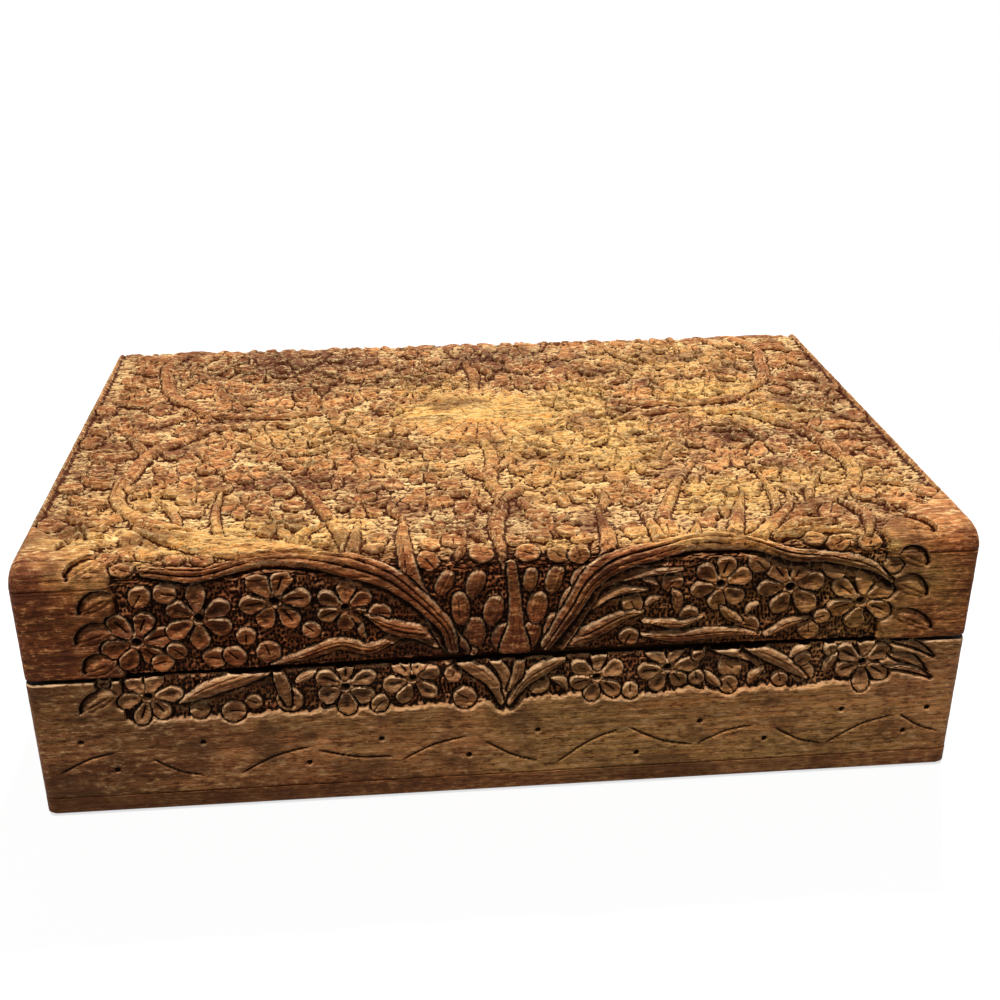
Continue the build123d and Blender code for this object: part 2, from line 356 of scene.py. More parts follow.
def stroke(panel, points, widths, groove=0.3, under=0, level=-0.10, crown=0.55):
    """A vine, stem or leaf along a smooth path. widths are spread evenly along it; under is
    how much deeper and wider the cut on its lower side is."""
    path, share = smooth_path(points)
    half = 0.5 * np.interp(share, np.linspace(0, 1, len(widths)), widths)
    depth, width = STEM_MOAT
    reach = 0.5 * max(widths) + width + 1 + 2.4 * under
    part, (inside, side, way, below) = along_path(panel, path, share, half, reach)
    side = np.clip(side, -1, 1)
    facet = crown * np.abs(side) ** 2.5 + groove * near(np.abs(side - 0.2), 0.16)
    facet = facet + 0.5 * groove * near(np.abs(side + 0.45), 0.12)
    facet = facet + 0.10 * np.sin(14 * side + 3 * sin(5 * points[0][0]))
    surface = level - facet - 0.25 * smooth(0.5, 1, way)
    moat = (depth + 1.2 * min(under, 1) * below, width + 2.4 * under * below)
    panel.press(part, inside, np.minimum(surface, -0.04), *moat, tint=0.4)


def leaf(panel, base, tip, width, bend):
    """A pointed leaf with a cut midrib, bent to one side."""
    base, tip = np.array(base, float), np.array(tip, float)
    across = np.array([base[1] - tip[1], tip[0] - base[0]])
    middle = (base + tip) / 2 + bend * across
    widths = width * np.array([0.25, 0.75, 1.0, 0.9, 0.6, 0.1])
    stroke(panel, [base, middle, tip], widths, MIDRIB, level=-0.2, crown=0.9)


def thumb_leaf(panel, base, tip, bulge):
    """A margin leaf: one deep stop cut along its bulging edge, and the leaf sloping up from
    that cut. A positive bulge lies to the left of the way from base to tip."""
    (u0, v0), (u1, v1) = base, tip
    run_u, run_v, width = u1 - u0, v1 - v0, abs(bulge)
    length = hypot(run_u, run_v)
    part, du, dv = panel.around((u0 + u1) / 2, (v0 + v1) / 2, 0.6 * length + width + 1)
    du, dv = du + run_u / 2, dv + run_v / 2
    share = (du * run_u + dv * run_v) / length**2
    across = (dv * run_u - du * run_v) / length * np.sign(bulge)
    arc = np.sqrt(np.clip(np.sin(pi * np.clip(share, 0, 1) ** 0.8), 0, 1))
    below_cut = width * arc - across
    above_foot = across + 0.45 * width * arc
    inside = np.minimum(below_cut, above_foot) + panel.waver[part]
    slope = 1.7 * near(below_cut, 0.75 * width) ** 1.2
    foot = 0.35 * near(above_foot, 0.8)
    rib = 0.4 * near(np.abs(across), 0.4) * smooth(0.1, 0.3, share)
    cover = np.clip(0.5 + inside / panel.edge, 0, 1) * (share > -0.05) * (share < 1.02)
    height = panel.height[part]
    height += (-np.maximum(slope, foot) - rib - 0.05 - height) * cover
    np.maximum(panel.motif[part], cover, out=panel.motif[part])


def wave(panel, start, end, sag):
    """A long shallow gouge cut, bowed by sag; positive sag bows it upwards."""
    (u0, v0), (u1, v1) = start, end
    path, share = smooth_path([start, ((u0 + u1) / 2, (v0 + v1) / 2 + sag), end])
    low, high = path.min(0) - 1.5, path.max(0) + 1.5
    part, us, vs = panel.window(low[0], high[0], low[1], high[1])
    middle, t = (np.interp(us[0], path[:, 0], line)[None, :] for line in (path[:, 1], share))
    swell = smooth(-0.02, 0.12, t) * smooth(1.02, 0.80, t)
    width, depth = GOUGE
    cut = depth * swell * near(np.abs(vs - middle), width * (0.5 + 0.7 * swell))
    panel.height[part] -= cut * ((us >= min(u0, u1)) & (us <= max(u0, u1)))


def comb(panel, points, width):
    """A hatched band of short cuts across a path, on the ground only."""
    path, share = smooth_path(points)
    pitch, depth = HATCH
    length = np.hypot(*np.diff(path, axis=0).T).sum()
    for t in np.arange(pitch / 2, length, pitch) / length:
        u, v = (np.interp(t, share, path[:, n]) for n in (0, 1))
        part, du, dv = panel.around(u, v, width / 2 + 1)
        notch = near(np.abs(du + 0.15 * dv), 0.45 * pitch)
        notch = notch * smooth(width / 2 + 0.3, width / 2 - 0.3, np.abs(dv))
        panel.height[part] -= depth * notch * (1 - panel.motif[part])


def fill(panel, bounds, stamps, mirror=None):
    """Scatter stamps on whatever ground is still bare, largest first, with mirror images.
    stamps holds (function, reach, how much of the reach has to be free, number of tries)."""
    u_low, u_high, v_low, v_high = bounds
    for stamp, reach, clear, tries in stamps:
        for _ in range(tries):
            u, v = panel.rng.uniform(u_low, u_high), panel.rng.uniform(v_low, v_high)
            for spot in [(u, v)] + (mirror(u, v) if mirror else []):
                if panel.is_free(*spot, reach * clear):
                    stamp(panel, *spot, reach)


def any_leaf(panel, u, v, reach):
    """A short leaf in any direction."""
    angle = panel.rng.uniform(0, 2 * pi)
    du, dv = reach * cos(angle), reach * sin(angle)
    bend = panel.rng.uniform(-0.2, 0.2)
    leaf(panel, (u - du, v - dv), (u + du, v + dv), 0.85 * reach, bend)


def finish_surface(panel, seed, torn=0.5, flakes=0.12):
    """Hand-tool unevenness, raised grain and short tears along the board's fibres."""
    us, vs = panel.us, panel.vs
    hand = 0.10 * layered_noise(us, vs, 9, 7, seed)
    hand = hand - 0.22 * np.abs(layered_noise(us, vs, 4, 3.2, seed + 6))
    fibre = 0.05 * value_noise(us, vs, 16, 0.8, seed + 3)
    fibre = fibre + 0.03 * value_noise(us, vs, 5, 0.5, seed + 4)
    tear = near(np.abs(layered_noise(us, vs, 4.5, 1.6, seed + 9, 2)), 0.20)
    patch = smooth(0.1, 0.7, value_noise(us, vs, 7, 4, seed + 12))
    tear = tear * (0.12 * patch + 0.6 * (1 - panel.motif)) * torn
    tear = tear * smooth(0.02, 0.3, -panel.height)
    height = 0.85 * panel.height + 0.15 * blurred(panel.height, 1)
    cuts = knife_facets(us, vs, 3.6, 2.8, seed + 15) + 0.6 * knife_facets(us, vs, 1.7, 1.5, seed + 16)
    height = height + flakes * (cuts - 0.5) * smooth(0.05, 0.4, -height)
    panel.height = np.minimum(height + hand + fibre - tear - 0.12, -0.02)


# ---- The lid's sheet ----------------------------------------------------------------
quarter = np.linspace(0, pi / 2, 300)
quarter_run = TOP_REACH * (1 - np.cos(quarter))
quarter_rise = top_thickness * np.sin(quarter)
quarter_steps = np.hypot(np.diff(quarter_run), np.diff(quarter_rise))
quarter_length = np.concatenate([[0], np.cumsum(quarter_steps)])
round_length = quarter_length[-1]
flat_s = joint_s + round_length  # where the top's flat begins
back_flat_s = flat_s + 2 * (half_depth - TOP_REACH)
back_joint_s = back_flat_s + round_length
MEDALLION_S = 173.5  # the carver set it a little behind the middle


def lid_section(s):
    """Where unrolled heights lie on the lid's section, with the outward normals there."""
    from_joint = np.minimum(s, joint_s + back_joint_s - s) - joint_s
    back = np.where(s > (joint_s + back_joint_s) / 2, -1, 1)
    angle = np.interp(from_joint, quarter_length, quarter)
    on_flat = from_joint > round_length
    on_round = np.where(from_joint < 0, 0, TOP_REACH * (1 - np.cos(angle)))
    run = np.where(on_flat, TOP_REACH + from_joint - round_length, on_round)
    rise = np.where(from_joint < 0, from_joint, top_thickness * np.sin(angle))
    normal_y, normal_z = -np.cos(angle) / TOP_REACH, np.sin(angle) / top_thickness
    size = np.hypot(normal_y, normal_z)
    return back * (run - half_depth), joint_s + rise, back * normal_y / size, normal_z / size


def mirrored(points):
    """A path, its mirror image left to right, and both turned over front to back."""
    return [[(side * u, over(v, turn)) for u, v in points]
            for side in (1, -1) for turn in (False, True)]


def over(v, turn=True):
    """A place on the top turned over, front to back, or as it was."""
    return 2 * MEDALLION_S - v if turn else v


def mirror_spots(u, v):
    """The three mirror images of a spot on the lid's top."""
    return [(-u, v), (u, over(v)), (-u, over(v))]


def cells(low, high, size, ends=()):
    """Evenly spaced coordinates, with extra ones close to the ends."""
    inner = np.linspace(low, high, int(round((high - low) / size)) + 1)
    margin = max(ends, default=0)
    keep = inner[(inner > low + margin) & (inner < high - margin)]
    return np.unique(np.concatenate([[low, high], low + np.array(ends), high - np.array(ends), keep]))


CORNER_STEPS = (0.12, 0.35, 0.7, 1.1, 1.6, 2.1, 2.5)
FRONT_CELL = 0.27
TOP_CELLS = (0.36, 0.46)  # along and across the top
FRONT_EDGE, TOP_EDGE, END_EDGE = 0.26, 0.30, 0.32  # how far a motif's edge is spread
FIELD_FRONT, FIELD_TOP = 102.5, 126.1  # half widths of the carved field
FRONT_STROKES = (0.85, 1.5)  # spacing of the short upright cuts in a front's ground
TOP_STROKES = (2.2, 1.2)  # and of the torn fibres in the top's
TOP_ROUGH = 1.8  # how much rougher the top is than the front
EDGE_SLOPE, BAND_SLOPE = 1.4, 0.7  # width of the slope at the edge of a field, and of a band

# The large scrolls of the top, each with its mirror images.
BIG_SCROLL = [(-45, 75), (-75, 88), (-90, 97), (-100, 105), (-106, 115), (-107, 125), (-105, 135),
              (-104, 142), (-100, 152), (-94, 158), (-88, 166), (-77, 169), (-62, 170), (-47, 166),
              (-38, 158)]
FORK = [(-103, 148), (-107, 156), (-111, 163)]
SIDE_LEAVES = [((-106, 128), (-120, 137)), ((-104, 117), (-121, 121)), ((-101, 107), (-119, 107)),
               ((-106, 150), (-121, 151))]
INNER_SCROLL = [(-41, 70), (-42, 84), (-45, 95), (-49, 105), (-52, 113), (-57, 122), (-62, 130)]
THIN_STEMS = [[(-75, 88), (-78, 103), (-78, 119)], [(-86, 91), (-89, 105), (-96, 117)],
              [(-27, 98), (-30, 104), (-28, 112)]]
FLOWERS_TOP = [(-85, 142, 10.5), (-85, 121, 9.5), (-70, 111, 8.5), (-38, 133, 9), (-38, 108, 8),
               (-19, 109, 7.5), (-20, 128, 8), (-62, 149, 9), (-40, 151, 8.5), (-72, 131, 7),
               (-112, 97, 7), (-60, 97, 7.5), (-15, 90, 6.5), (-111, 172, 7.5), (-92, 180, 6.5),
               (-115, 144, 5.5), (-114, 113, 5.5)]
BUDS_TOP = [(-66, 124), (-57, 109), (-48, 115), (-50, 128), (-95, 131), (-29, 120), (-10, 97),
            (-20, 82), (-34, 86), (-55, 88), (-66, 99), (-98, 113), (-95, 148)]
AXIS = [(-1.5, 70), (-2, 90), (0, 100), (1, 110), (-1, 118), (0, 128), (1, 138), (0, 149)]
CRESCENTS = ((-1, 100, 116), (-1, 121, 135), (1, 106, 121), (1, 127, 141))  # side, low, high
GOUGES = 26  # rays of the medallion

# The lid's front and the round above it, from left to right.
FLOWERS_LID = [(-97, 53, 9.4, 0.2), (-80.5, 59.5, 9.4, 0.5), (-61, 63.5, 9.6, 0.1), (-43, 60.5, 8.0, 0.4),
               (56.5, 62.5, 8.8, 0.35), (75.7, 60.7, 9.8, 0.15), (95.7, 55.3, 9.6, 0.45)]
BUDS_LID = [(66.5, 68.3, 3.2), (88, 66, 3.6), (43.5, 63.3, 3.1), (33, 57, 3.3), (-77.5, 47, 3.2),
            (-72.3, 47, 3.2), (-63.5, 47.7, 3.4), (-91, 46.4, 2.8), (82, 46.8, 3.2),
            (64.8, 48.8, 3.3), (-34, 58, 3.1), (-69, 53, 2.8), (-95, 66.3, 3.2), (-88.5, 67, 2.9),
            (103.5, 66, 2.4), (85.5, 50.5, 2.4), (-52, 54, 2.6), (48.5, 52.8, 2.7)]
BUDS_ROUND = [(-7, 76, 3.3), (5, 75.5, 3.3), (-21, 74, 3.4), (13, 74.5, 3.2), (18.5, 74, 3.1),
              (-98, 84, 3.8), (-93, 83, 3.4), (-103, 81, 3.0), (-86, 79, 2.8), (88, 74, 3.2),
              (97, 74, 3.5), (-14, 83, 3.3), (9, 84, 3.3), (17, 86, 3.2), (35, 84, 3.2),
              (-35, 81, 3.0), (-99, 92, 3.4), (44, 86, 3.6)]
HATCHES = [([(-88, 79.5), (-80, 81), (-71, 79)], 3.2), ([(-46, 57), (-41, 55.5), (-36, 57)], 5),
           ([(-44, 98), (-44, 88)], 3), ([(45, 80), (52, 84)], 4), ([(75, 83), (84, 83)], 5),
           ([(-23, 70), (-18, 80)], 3), ([(20, 70), (23, 84)], 3), ([(60, 51), (72, 53)], 5),
           ([(35, 71.5), (44, 71)], 2.4), ([(-96, 76), (-90, 73.5)], 4), ([(84, 55), (86, 57)], 3),
           ([(60, 92), (62, 102)], 5), ([(-64, 88), (-54, 96)], 5)]
CENTRE_TONGUES = [
    # Blunt leaves at the foot of the plant: (foot, head, width)
    ((-9.5, 46), (-9, 52.5), 5.8), ((-1.8, 45.6), (-1.2, 49.8), 6.4), ((4.6, 45.4), (6.2, 50), 5.6),
    ((11.6, 45.6), (12, 52.6), 5.0), ((-4.6, 54.6), (-3.6, 59), 5.4), ((7.2, 54.6), (7.8, 59.6), 5.6),
    ((15.4, 55.6), (17, 61), 5.4), ((-12.6, 54.8), (-13, 61), 4.8), ((18, 65), (20, 67.6), 4.6),
    ((11.4, 63.6), (12.6, 67.8), 4.6), ((-9.6, 63.4), (-8, 67.6), 4.8), ((-17.6, 64.6), (-16, 68), 4.4),
    ((5.4, 64.4), (5.8, 68), 4.0),
]
LID_VINES = [
    # (points, widths along it, how strongly it is undercut below)
    ([(1.5, 44), (1.8, 56), (0.5, 72)], [8.5, 4.6, 3.4, 3.0, 2.4], 0),
    ([(-10, 44.3), (-27, 50), (-37, 47), (-45, 49), (-55, 46), (-63, 44)], [3, 3.6, 2.4, 4, 3.4, 0.8], 0.5),
    ([(-17, 50), (-30, 53), (-38, 58)], [3, 5, 4.2, 0.6], 0.6),
    ([(10, 44.8), (20, 47.5), (30, 53), (36, 54.5)], [2, 4.8, 4.6, 1], 0.6),
    ([(36, 47), (46, 46), (60, 47), (70, 45.3)], [1, 3.4, 3.6, 2.6, 0.6], 0.4),
    ([(36, 51.5), (46, 50), (53, 52.5)], [1, 3.0, 0.5], 0.4),
    ([(70, 45.5), (76, 49), (82, 50.5)], [1, 3.2, 0.5], 0.4),
    ([(12, 46), (25, 60), (37, 61.5)], [3.6, 3.4, 3.4, 0.6], 0.7),
    ([(20, 60), (30, 66), (46, 67.3)], [3, 3.4, 2.8, 0.6], 0.7),
    ([(-41, 72), (-40, 84), (-39, 98)], [4.4, 3.4, 2.6, 1], 0),
    ([(-14, 45), (-19, 54), (-25, 66), (-27, 80), (-27, 98)], [6.8, 4.8, 4.6, 4.0, 1.2], 0),
    ([(12, 45), (18, 54), (24, 66), (27, 80), (27, 98)], [6.8, 4.8, 4.6, 4.0, 1.2], 0),
    ([(41, 75), (40, 86), (39, 98)], [4.4, 3.4, 2.6, 1], 0),
    ([(-58, 79), (-54, 90), (-47, 98)], [1.6, 3.2, 0.4], 0),
    ([(60, 77), (66, 95), (70, 106)], [4.4, 3.6, 0.8], 0),
    ([(67, 78), (80, 95), (83, 106)], [4.2, 3.2, 0.8], 0),
    ([(73, 79), (80, 85.5), (91, 86)], [3, 3.4, 0.5], 0.9),
    ([(73, 79), (83, 80.5), (92, 79.5)], [3, 2.8, 0.4], 0.4),
    ([(97, 77), (100, 88), (96, 98)], [1.4, 3.8, 1], 0),
    ([(-42, 73), (-57, 80), (-75, 86), (-90, 93), (-99, 98)], [4, 9, 10.5, 8, 1], 0.3),
    ([(-15, 45.5), (-17, 53), (-25, 63), (-33, 70), (-45, 75), (-57, 77.2), (-68, 76), (-80, 72.8),
      (-93, 74.5)], [3, 4.2, 5, 7.5, 9, 5.2, 3.2, 4.6, 6, 3.4], 1),
    ([(10, 44.8), (17, 57), (21, 65), (28, 71), (38, 74), (50, 77.3), (58, 77), (66, 75),
      (75, 71), (86, 69.3), (97, 66), (103.5, 61)], [3, 4.6, 5.4, 7.5, 7, 6, 7.4, 4, 4.8, 3.6, 3.4, 1], 1),
]
LID_MARGIN_LEAVES = [
    # (base, tip, bulge)
    ((-103.5, 47.5), (-111.5, 44.3), -4.6), ((-103, 57), (-112.5, 53.5), -4.4),
    ((-101.5, 67.5), (-110.5, 62.5), -3.8), ((-103.5, 79.5), (-112.5, 72.5), -4.2),
    ((-104, 90), (-117, 85), -5.4), ((105, 51), (116.8, 45.6), 3.6), ((104.5, 61), (114, 56.2), 4.4),
    ((104.5, 70), (113, 65.5), 4.0), ((103.5, 84), (115, 76), 5.2), ((106, 97), (118, 91), 4.6),
]


WIDENING = (76, 102)  # the stretch of s over which the carved field widens
MEDALLION_RADIUS, BUTTON_RADIUS, RING_RADIUS = 22.5, 4.5, 5.2
# Where small motifs fill the ground that is left: (lowest x, highest x, lowest s, highest s).
FRONT_REGION, ROUND_REGION, TOP_REGION = (-101, 101, 46, 67), (-103, 103, 72, 86), (-124, 124, 86, 249)
BACK_FADE = 0.55  # how much shallower the back round's carving is
LID_SEED, RAGGED_SEED, GROUND_SEED, LID_GRAIN_SEED = 11, 21, 31, 51


def carve_ground(panel, strokes, relief):
    """Sink the lid's field, which is wider on the top than on the front."""
    us, vs = panel.us, panel.vs
    widening = smooth(*WIDENING, vs)[:, None]
    half = FIELD_FRONT + (FIELD_TOP - FIELD_FRONT) * widening
    ragged = (1.6 - 0.8 * widening) * layered_noise(us, vs, 9, 9, RAGGED_SEED)
    inside = half + ragged - np.abs(us)[None, :]
    sink_ground(panel, inside, EDGE_SLOPE, strokes, GROUND_SEED, relief)


def carve_medallion(panel):
    """A button in a ring, with long gouges radiating from it."""
    part, du, dv = panel.around(0, MEDALLION_S, 1.2 * MEDALLION_RADIUS)
    r, turn = np.hypot(du, dv), np.arctan2(dv, du)
    scallop = np.abs(np.sin(turn * GOUGES / 2))
    rays = -0.3 - 0.9 * (1 - scallop) * smooth(5, 10, r) - 0.6 * smooth(12, 23, r)
    button = -0.15 - 0.5 * (r / 4.2) ** 2
    ring = -0.9 * near(np.abs(r - RING_RADIUS), 0.7)
    surface = np.where(r < BUTTON_RADIUS, button, rays) + ring
    panel.press(part, MEDALLION_RADIUS + 1.6 * scallop - r, surface, *MEDALLION_MOAT)


def carve_top_motifs(panel):
    """Flowers, buds and scrolls of the top, mirrored left to right and front to back."""
    rng = panel.rng
    for u, v, radius in FLOWERS_TOP:
        for ((spot_u, spot_v),) in mirrored([(u, v)]):
            wobble, size, petals = rng.uniform(-0.9, 0.9, 2), rng.uniform(0.93, 1.05), rng.choice([6, 6, 7])
            flower(panel, spot_u + wobble[0], spot_v + wobble[1], radius * size, int(petals))
    for u, v in BUDS_TOP:
        for (spot,) in mirrored([(u, v)]):
            bud(panel, *spot, rng.uniform(2.8, 3.6))
    for ends in SIDE_LEAVES:
        for base_end, tip in mirrored(ends):
            leaf(panel, base_end, tip, 5.6, 0.22)
    scrolls = [(points, [2.2, 2.6, 1.0], 0.15) for points in THIN_STEMS]
    scrolls.append((INNER_SCROLL, [3, 4.4, 3.6, 2.6, 0.8], 0.4))
    scrolls.append((FORK, [3, 3.6, 0.4], 0.4))
    scrolls.append((BIG_SCROLL, [4.6, 3.8, 5, 4, 4.6, 3.8, 3, 2.6, 0.8], 0.4))
    for points, widths, groove in scrolls:
        for copy in mirrored(points):
            stroke(panel, copy, widths, groove)
    axis = [(AXIS, [1, 4.6, 3.8, 4.2, 3])]
    for side, low, high in CRESCENTS:
        axis.append(([(side * 1.5, low), (side * 6.5, low + 8), (side * 5, high)], [2, 3.6, 0.4]))
    for turn in (False, True):
        for points, widths in axis:
            stroke(panel, [(u, over(v, turn)) for u, v in points], widths, 0.35)


def carve_row(panel, flowers, buds, hatches, tongues, vines, margin_leaves):
    """A front's motifs: the vines and the margin leaves lie over all the others."""
    for u, v, radius, turn in flowers:
        flower(panel, u, v, radius, turn=turn)
    for u, v, radius in buds:
        bud(panel, u, v, radius)
    for points, width in hatches:
        comb(panel, points, width)
    for foot, head, width in tongues:
        widths = [0.8 * width, width, width, 0.85 * width]
        stroke(panel, [foot, head], widths, level=-0.3, crown=0.8)
    for points, widths, under, groove in vines:
        stroke(panel, points, widths, groove, under)
    for start, tip, bulge in margin_leaves:
        thumb_leaf(panel, start, tip, bulge)


def lid_panel(vs, cell_u, edge, strokes, relief=0.8, rough=1.0):
    """One board's share of the lid's sheet. Both boards take the same random draws, so that
    the carving runs on across their joint."""
    panel = Panel(cells(-half_width, half_width, cell_u, CORNER_STEPS), vs, edge, LID_SEED, rough)
    carve_ground(panel, strokes, relief)
    carve_medallion(panel)
    carve_top_motifs(panel)
    # A vine that is undercut more has a deeper groove along it.
    vines = [(points, widths, under, 0.3 + 0.9 * under) for points, widths, under in LID_VINES]
    carve_row(panel, FLOWERS_LID, BUDS_LID + BUDS_ROUND, HATCHES, CENTRE_TONGUES, vines,
              LID_MARGIN_LEAVES)
    return panel


def carve_lid_front():
    """The lid's front, up to its joint with the top."""
    panel = lid_panel(cells(lid_rim, joint_s, FRONT_CELL), FRONT_CELL, FRONT_EDGE, FRONT_STROKES, 1.2)
    fill(panel, FRONT_REGION,
         [(any_leaf, 3.8, 0.8, 200), (bud, 2.8, 0.9, 150), (any_leaf, 2.4, 0.8, 120)])
    finish_surface(panel, LID_GRAIN_SEED)
    return panel


def carve_lid_top():
    """The lid's top with its front and back rounds. The back round is carved less deeply."""
    rows = [cells(joint_s, flat_s, FRONT_CELL), cells(flat_s, back_flat_s, TOP_CELLS[1]),
            cells(back_flat_s, back_joint_s, TOP_CELLS[1])]
    vs = np.unique(np.concatenate(rows))
    panel = lid_panel(vs, TOP_CELLS[0], TOP_EDGE, TOP_STROKES, rough=TOP_ROUGH)
    fill(panel, TOP_REGION,
         [(flower, 7.6, 0.86, 900), (flower, 6.4, 0.9, 500), (bud, 3.6, 0.95, 300),
          (any_leaf, 4.2, 0.8, 250)], mirror_spots)
    fill(panel, ROUND_REGION, [(bud, 2.9, 1.0, 150), (any_leaf, 3.2, 0.8, 250)])
    panel.height *= 1 - BACK_FADE * smooth(back_flat_s - 12, back_flat_s - 2, panel.vs)[:, None]
    finish_surface(panel, LID_GRAIN_SEED, 1.0, 0.45)
    return panel


# ---- The base's front ---------------------------------------------------------------
LEDGE_Z = 29.3  # the ragged lower edge of the base's carved band
BAND_ENDS, BAND_REGION = (-103, 104), (-101, 102, 31, 41)
LOWER_CELL = 0.40  # below the band
BASE_SEED, BAND_SEED, BASE_GRAIN_SEED = 12, 61, 71
FLOWERS_BASE = [(-96, 36.5, 8.6, 0.1), (-44, 36.5, 8.6, 0.5), (-26, 38, 8.2, 0.2),
                (24, 35.5, 8.4, 0.4), (43.5, 37.5, 8.8, 0.15), (98.5, 36, 8.8, 0.5)]
BUDS_BASE = [(-74, 30.5, 3.2), (-59, 33, 3.6), (-12, 31, 3.2), (8, 34, 3.2), (61, 36.5, 3.4),
             (61, 30.8, 2.8), (82, 33, 3.2), (-83, 31.5, 2.6), (-107, 41, 1.8), (-35, 30.5, 2.5),
             (33.5, 30.5, 2.4), (89, 40.5, 2.2), (-68.5, 33, 2.3), (-15, 38.5, 2.4), (52, 40.8, 2)]
BASE_VINES = [
    ([(-64, 43), (-78, 38.5), (-88, 34)], [3, 5, 4.6, 0.8], 0.8),
    ([(-62, 43), (-60.5, 37), (-59.5, 32)], [2, 3.6, 3.6, 1.6], 0.3),
    ([(56, 43), (66, 40), (71, 34)], [2.4, 4.2, 3, 0.8], 0.7),
    ([(66, 42.5), (76, 37), (83, 31.5)], [2.4, 4.2, 3.6, 0.8], 0.7),
    ([(-2, 28.5), (-5, 36), (-13, 42.5)], [1, 3.4, 4.2, 3], 0.6),
    ([(0, 28.5), (5, 36), (14, 41.5)], [1, 3.4, 4.2, 3], 0.6),
    ([(-1, 31), (-1, 37), (-4, 42.5)], [1, 3, 3], 0),
    ([(0, 33), (2.5, 38), (3, 42.5)], [1, 3, 3], 0),
]
HATCHES_BASE = [([(-84, 38.5), (-74, 40.5)], 3), ([(66, 37), (78, 33)], 5),
                ([(-20, 34), (-8, 33)], 4), ([(52, 34), (56, 33)], 5), ([(12, 33), (15, 38)], 4)]
MARGIN_LEAF_BASE = ((-104, 38.5), (-114, 32.5), -3.6)
LEAVES_BASE = [((104, 43), (118.5, 37), 2.0), ((106, 38), (117, 32), 3.4),
               ((105, 34), (118.5, 30), 2.2)]
WAVES = [((-122, 13.5), (-105, 20), 1.2), ((-97, 17), (-83, 10.5), -1.2), ((-74, 10.5), (-53, 18.5), 1.5),
         ((-53, 17), (-31, 13.5), -1.2), ((-30, 12), (-11, 19), 1.2), ((-7, 17), (9, 9), -1.2),
         ((13, 8), (32, 18.7), 1.6), ((33, 19), (53, 11.5), -1.4), ((53, 12), (70, 17.5), 1.2),
         ((75, 16), (90, 9.5), -1.2), ((90, 9.5), (111, 18.5), 1.6), ((111, 18.3), (124, 11.5), -1)]
DOTS = [(-115, 23.5), (-106.5, 14), (-83, 21.5), (-55, 13), (-35, 19.5), (-11, 12.5), (8, 19.5),
        (36, 10), (53.5, 19.5), (72.5, 12.5), (94, 21), (113, 12.5), (119, 20)]
DOT = (0.75, 1.2)  # radius and depth


def sink_band(panel, field_low, field_high, seed):
    """Sink the band of ground that runs under the base's rim, with a ragged lower edge."""
    us, vs = panel.us, panel.vs
    tears = 1.1 * layered_noise(us, vs, 6, 30, seed, 4) + 0.5 * value_noise(us, vs, 1.0, 30, seed + 9)
    ends = np.minimum(us - field_low, field_high - us)[None, :] + tears
    inside = np.minimum(vs[:, None] - LEDGE_Z + tears, ends)
    sink_ground(panel, inside, BAND_SLOPE, FRONT_STROKES, seed + 1, 1.1)


def carve_base_front():
    """The base's front: a carved band under the rim, and plain wood with a few gouges below."""
    below = cells(base_low, LEDGE_Z - 3, LOWER_CELL)
    vs = np.unique(np.concatenate([below, cells(LEDGE_Z - 3, base_rim, FRONT_CELL)]))
    panel = Panel(cells(-half_width, half_width, FRONT_CELL, CORNER_STEPS), vs, FRONT_EDGE, BASE_SEED)
    sink_band(panel, *BAND_ENDS, BAND_SEED)
    vines = [(points, widths, under, 0.3) for points, widths, under in BASE_VINES]
    carve_row(panel, FLOWERS_BASE, BUDS_BASE, HATCHES_BASE, [], vines, [MARGIN_LEAF_BASE])
    for start, tip, width in LEAVES_BASE:
        leaf(panel, start, tip, width, 0.08)
    fill(panel, BAND_REGION, [(any_leaf, 3.2, 0.7, 200), (bud, 2.4, 0.8, 140)])
    # A painted highlight along the base's top edge, on the motifs
    rubbed_edge = smooth(base_rim - 0.5, base_rim - 0.2, vs)[:, None]
    panel.rim = np.maximum(panel.rim, 1.3 * panel.motif * rubbed_edge)
    for start, end, sag in WAVES:
        wave(panel, start, end, sag)
    for u, v in DOTS:
        drill(panel, u, v, *DOT)
    finish_surface(panel, BASE_GRAIN_SEED)
    return panel


# ---- The end boards -----------------------------------------------------------------
END_CELLS = (0.36, 0.33)  # along and up an end board
END_MARGIN = 12.0  # plain wood at both ends of an end board's carving
END_SEED, END_SEED_STEP = 100, 20
END_WAVES, END_WAVES_Z, END_WAVES_RISE = 8, 14, 3.8  # how many gouges, their height and slope
BASE_ROW = dict(v=36.2, radius=8.2, places=(-52, -31.5, 31.5, 52), foot=24)
LID_ROW = dict(v=56.5, radius=9.2, places=(-54, -30, 30, 54), foot=2)


def carve_end_plant(panel, row, foot_v, flip):
    """Three bent leaves to one side of the middle, from the plant's foot."""
    for spread in (1, 2, 3):
        bend = (flip * (1 + 3.4 * spread), row["v"] - 2 - 2 * spread)
        tip = (flip * (5 + 5.5 * spread), row["v"] + 8 - 5 * spread)
        stroke(panel, [(flip * 1.5, foot_v), bend, tip], [2.6, 3.8, 4, 0.6], under=0.6)


def carve_end_vine(panel, low_z, reach, flip):
    """A lid end's long vine over one half, and the leaves on its margin."""
    points = [(flip * 3, low_z + 3), (flip * 16, 64), (flip * 36, 67.5), (flip * 60, 66), (flip * 68, 62)]
    stroke(panel, points, [3, 4.4, 5.4, 4.4, 1], under=1)
    for v in (48, 57.5, 66.5):
        thumb_leaf(panel, (flip * reach, v), (flip * (reach + 8), v - 4), flip * 3.8)


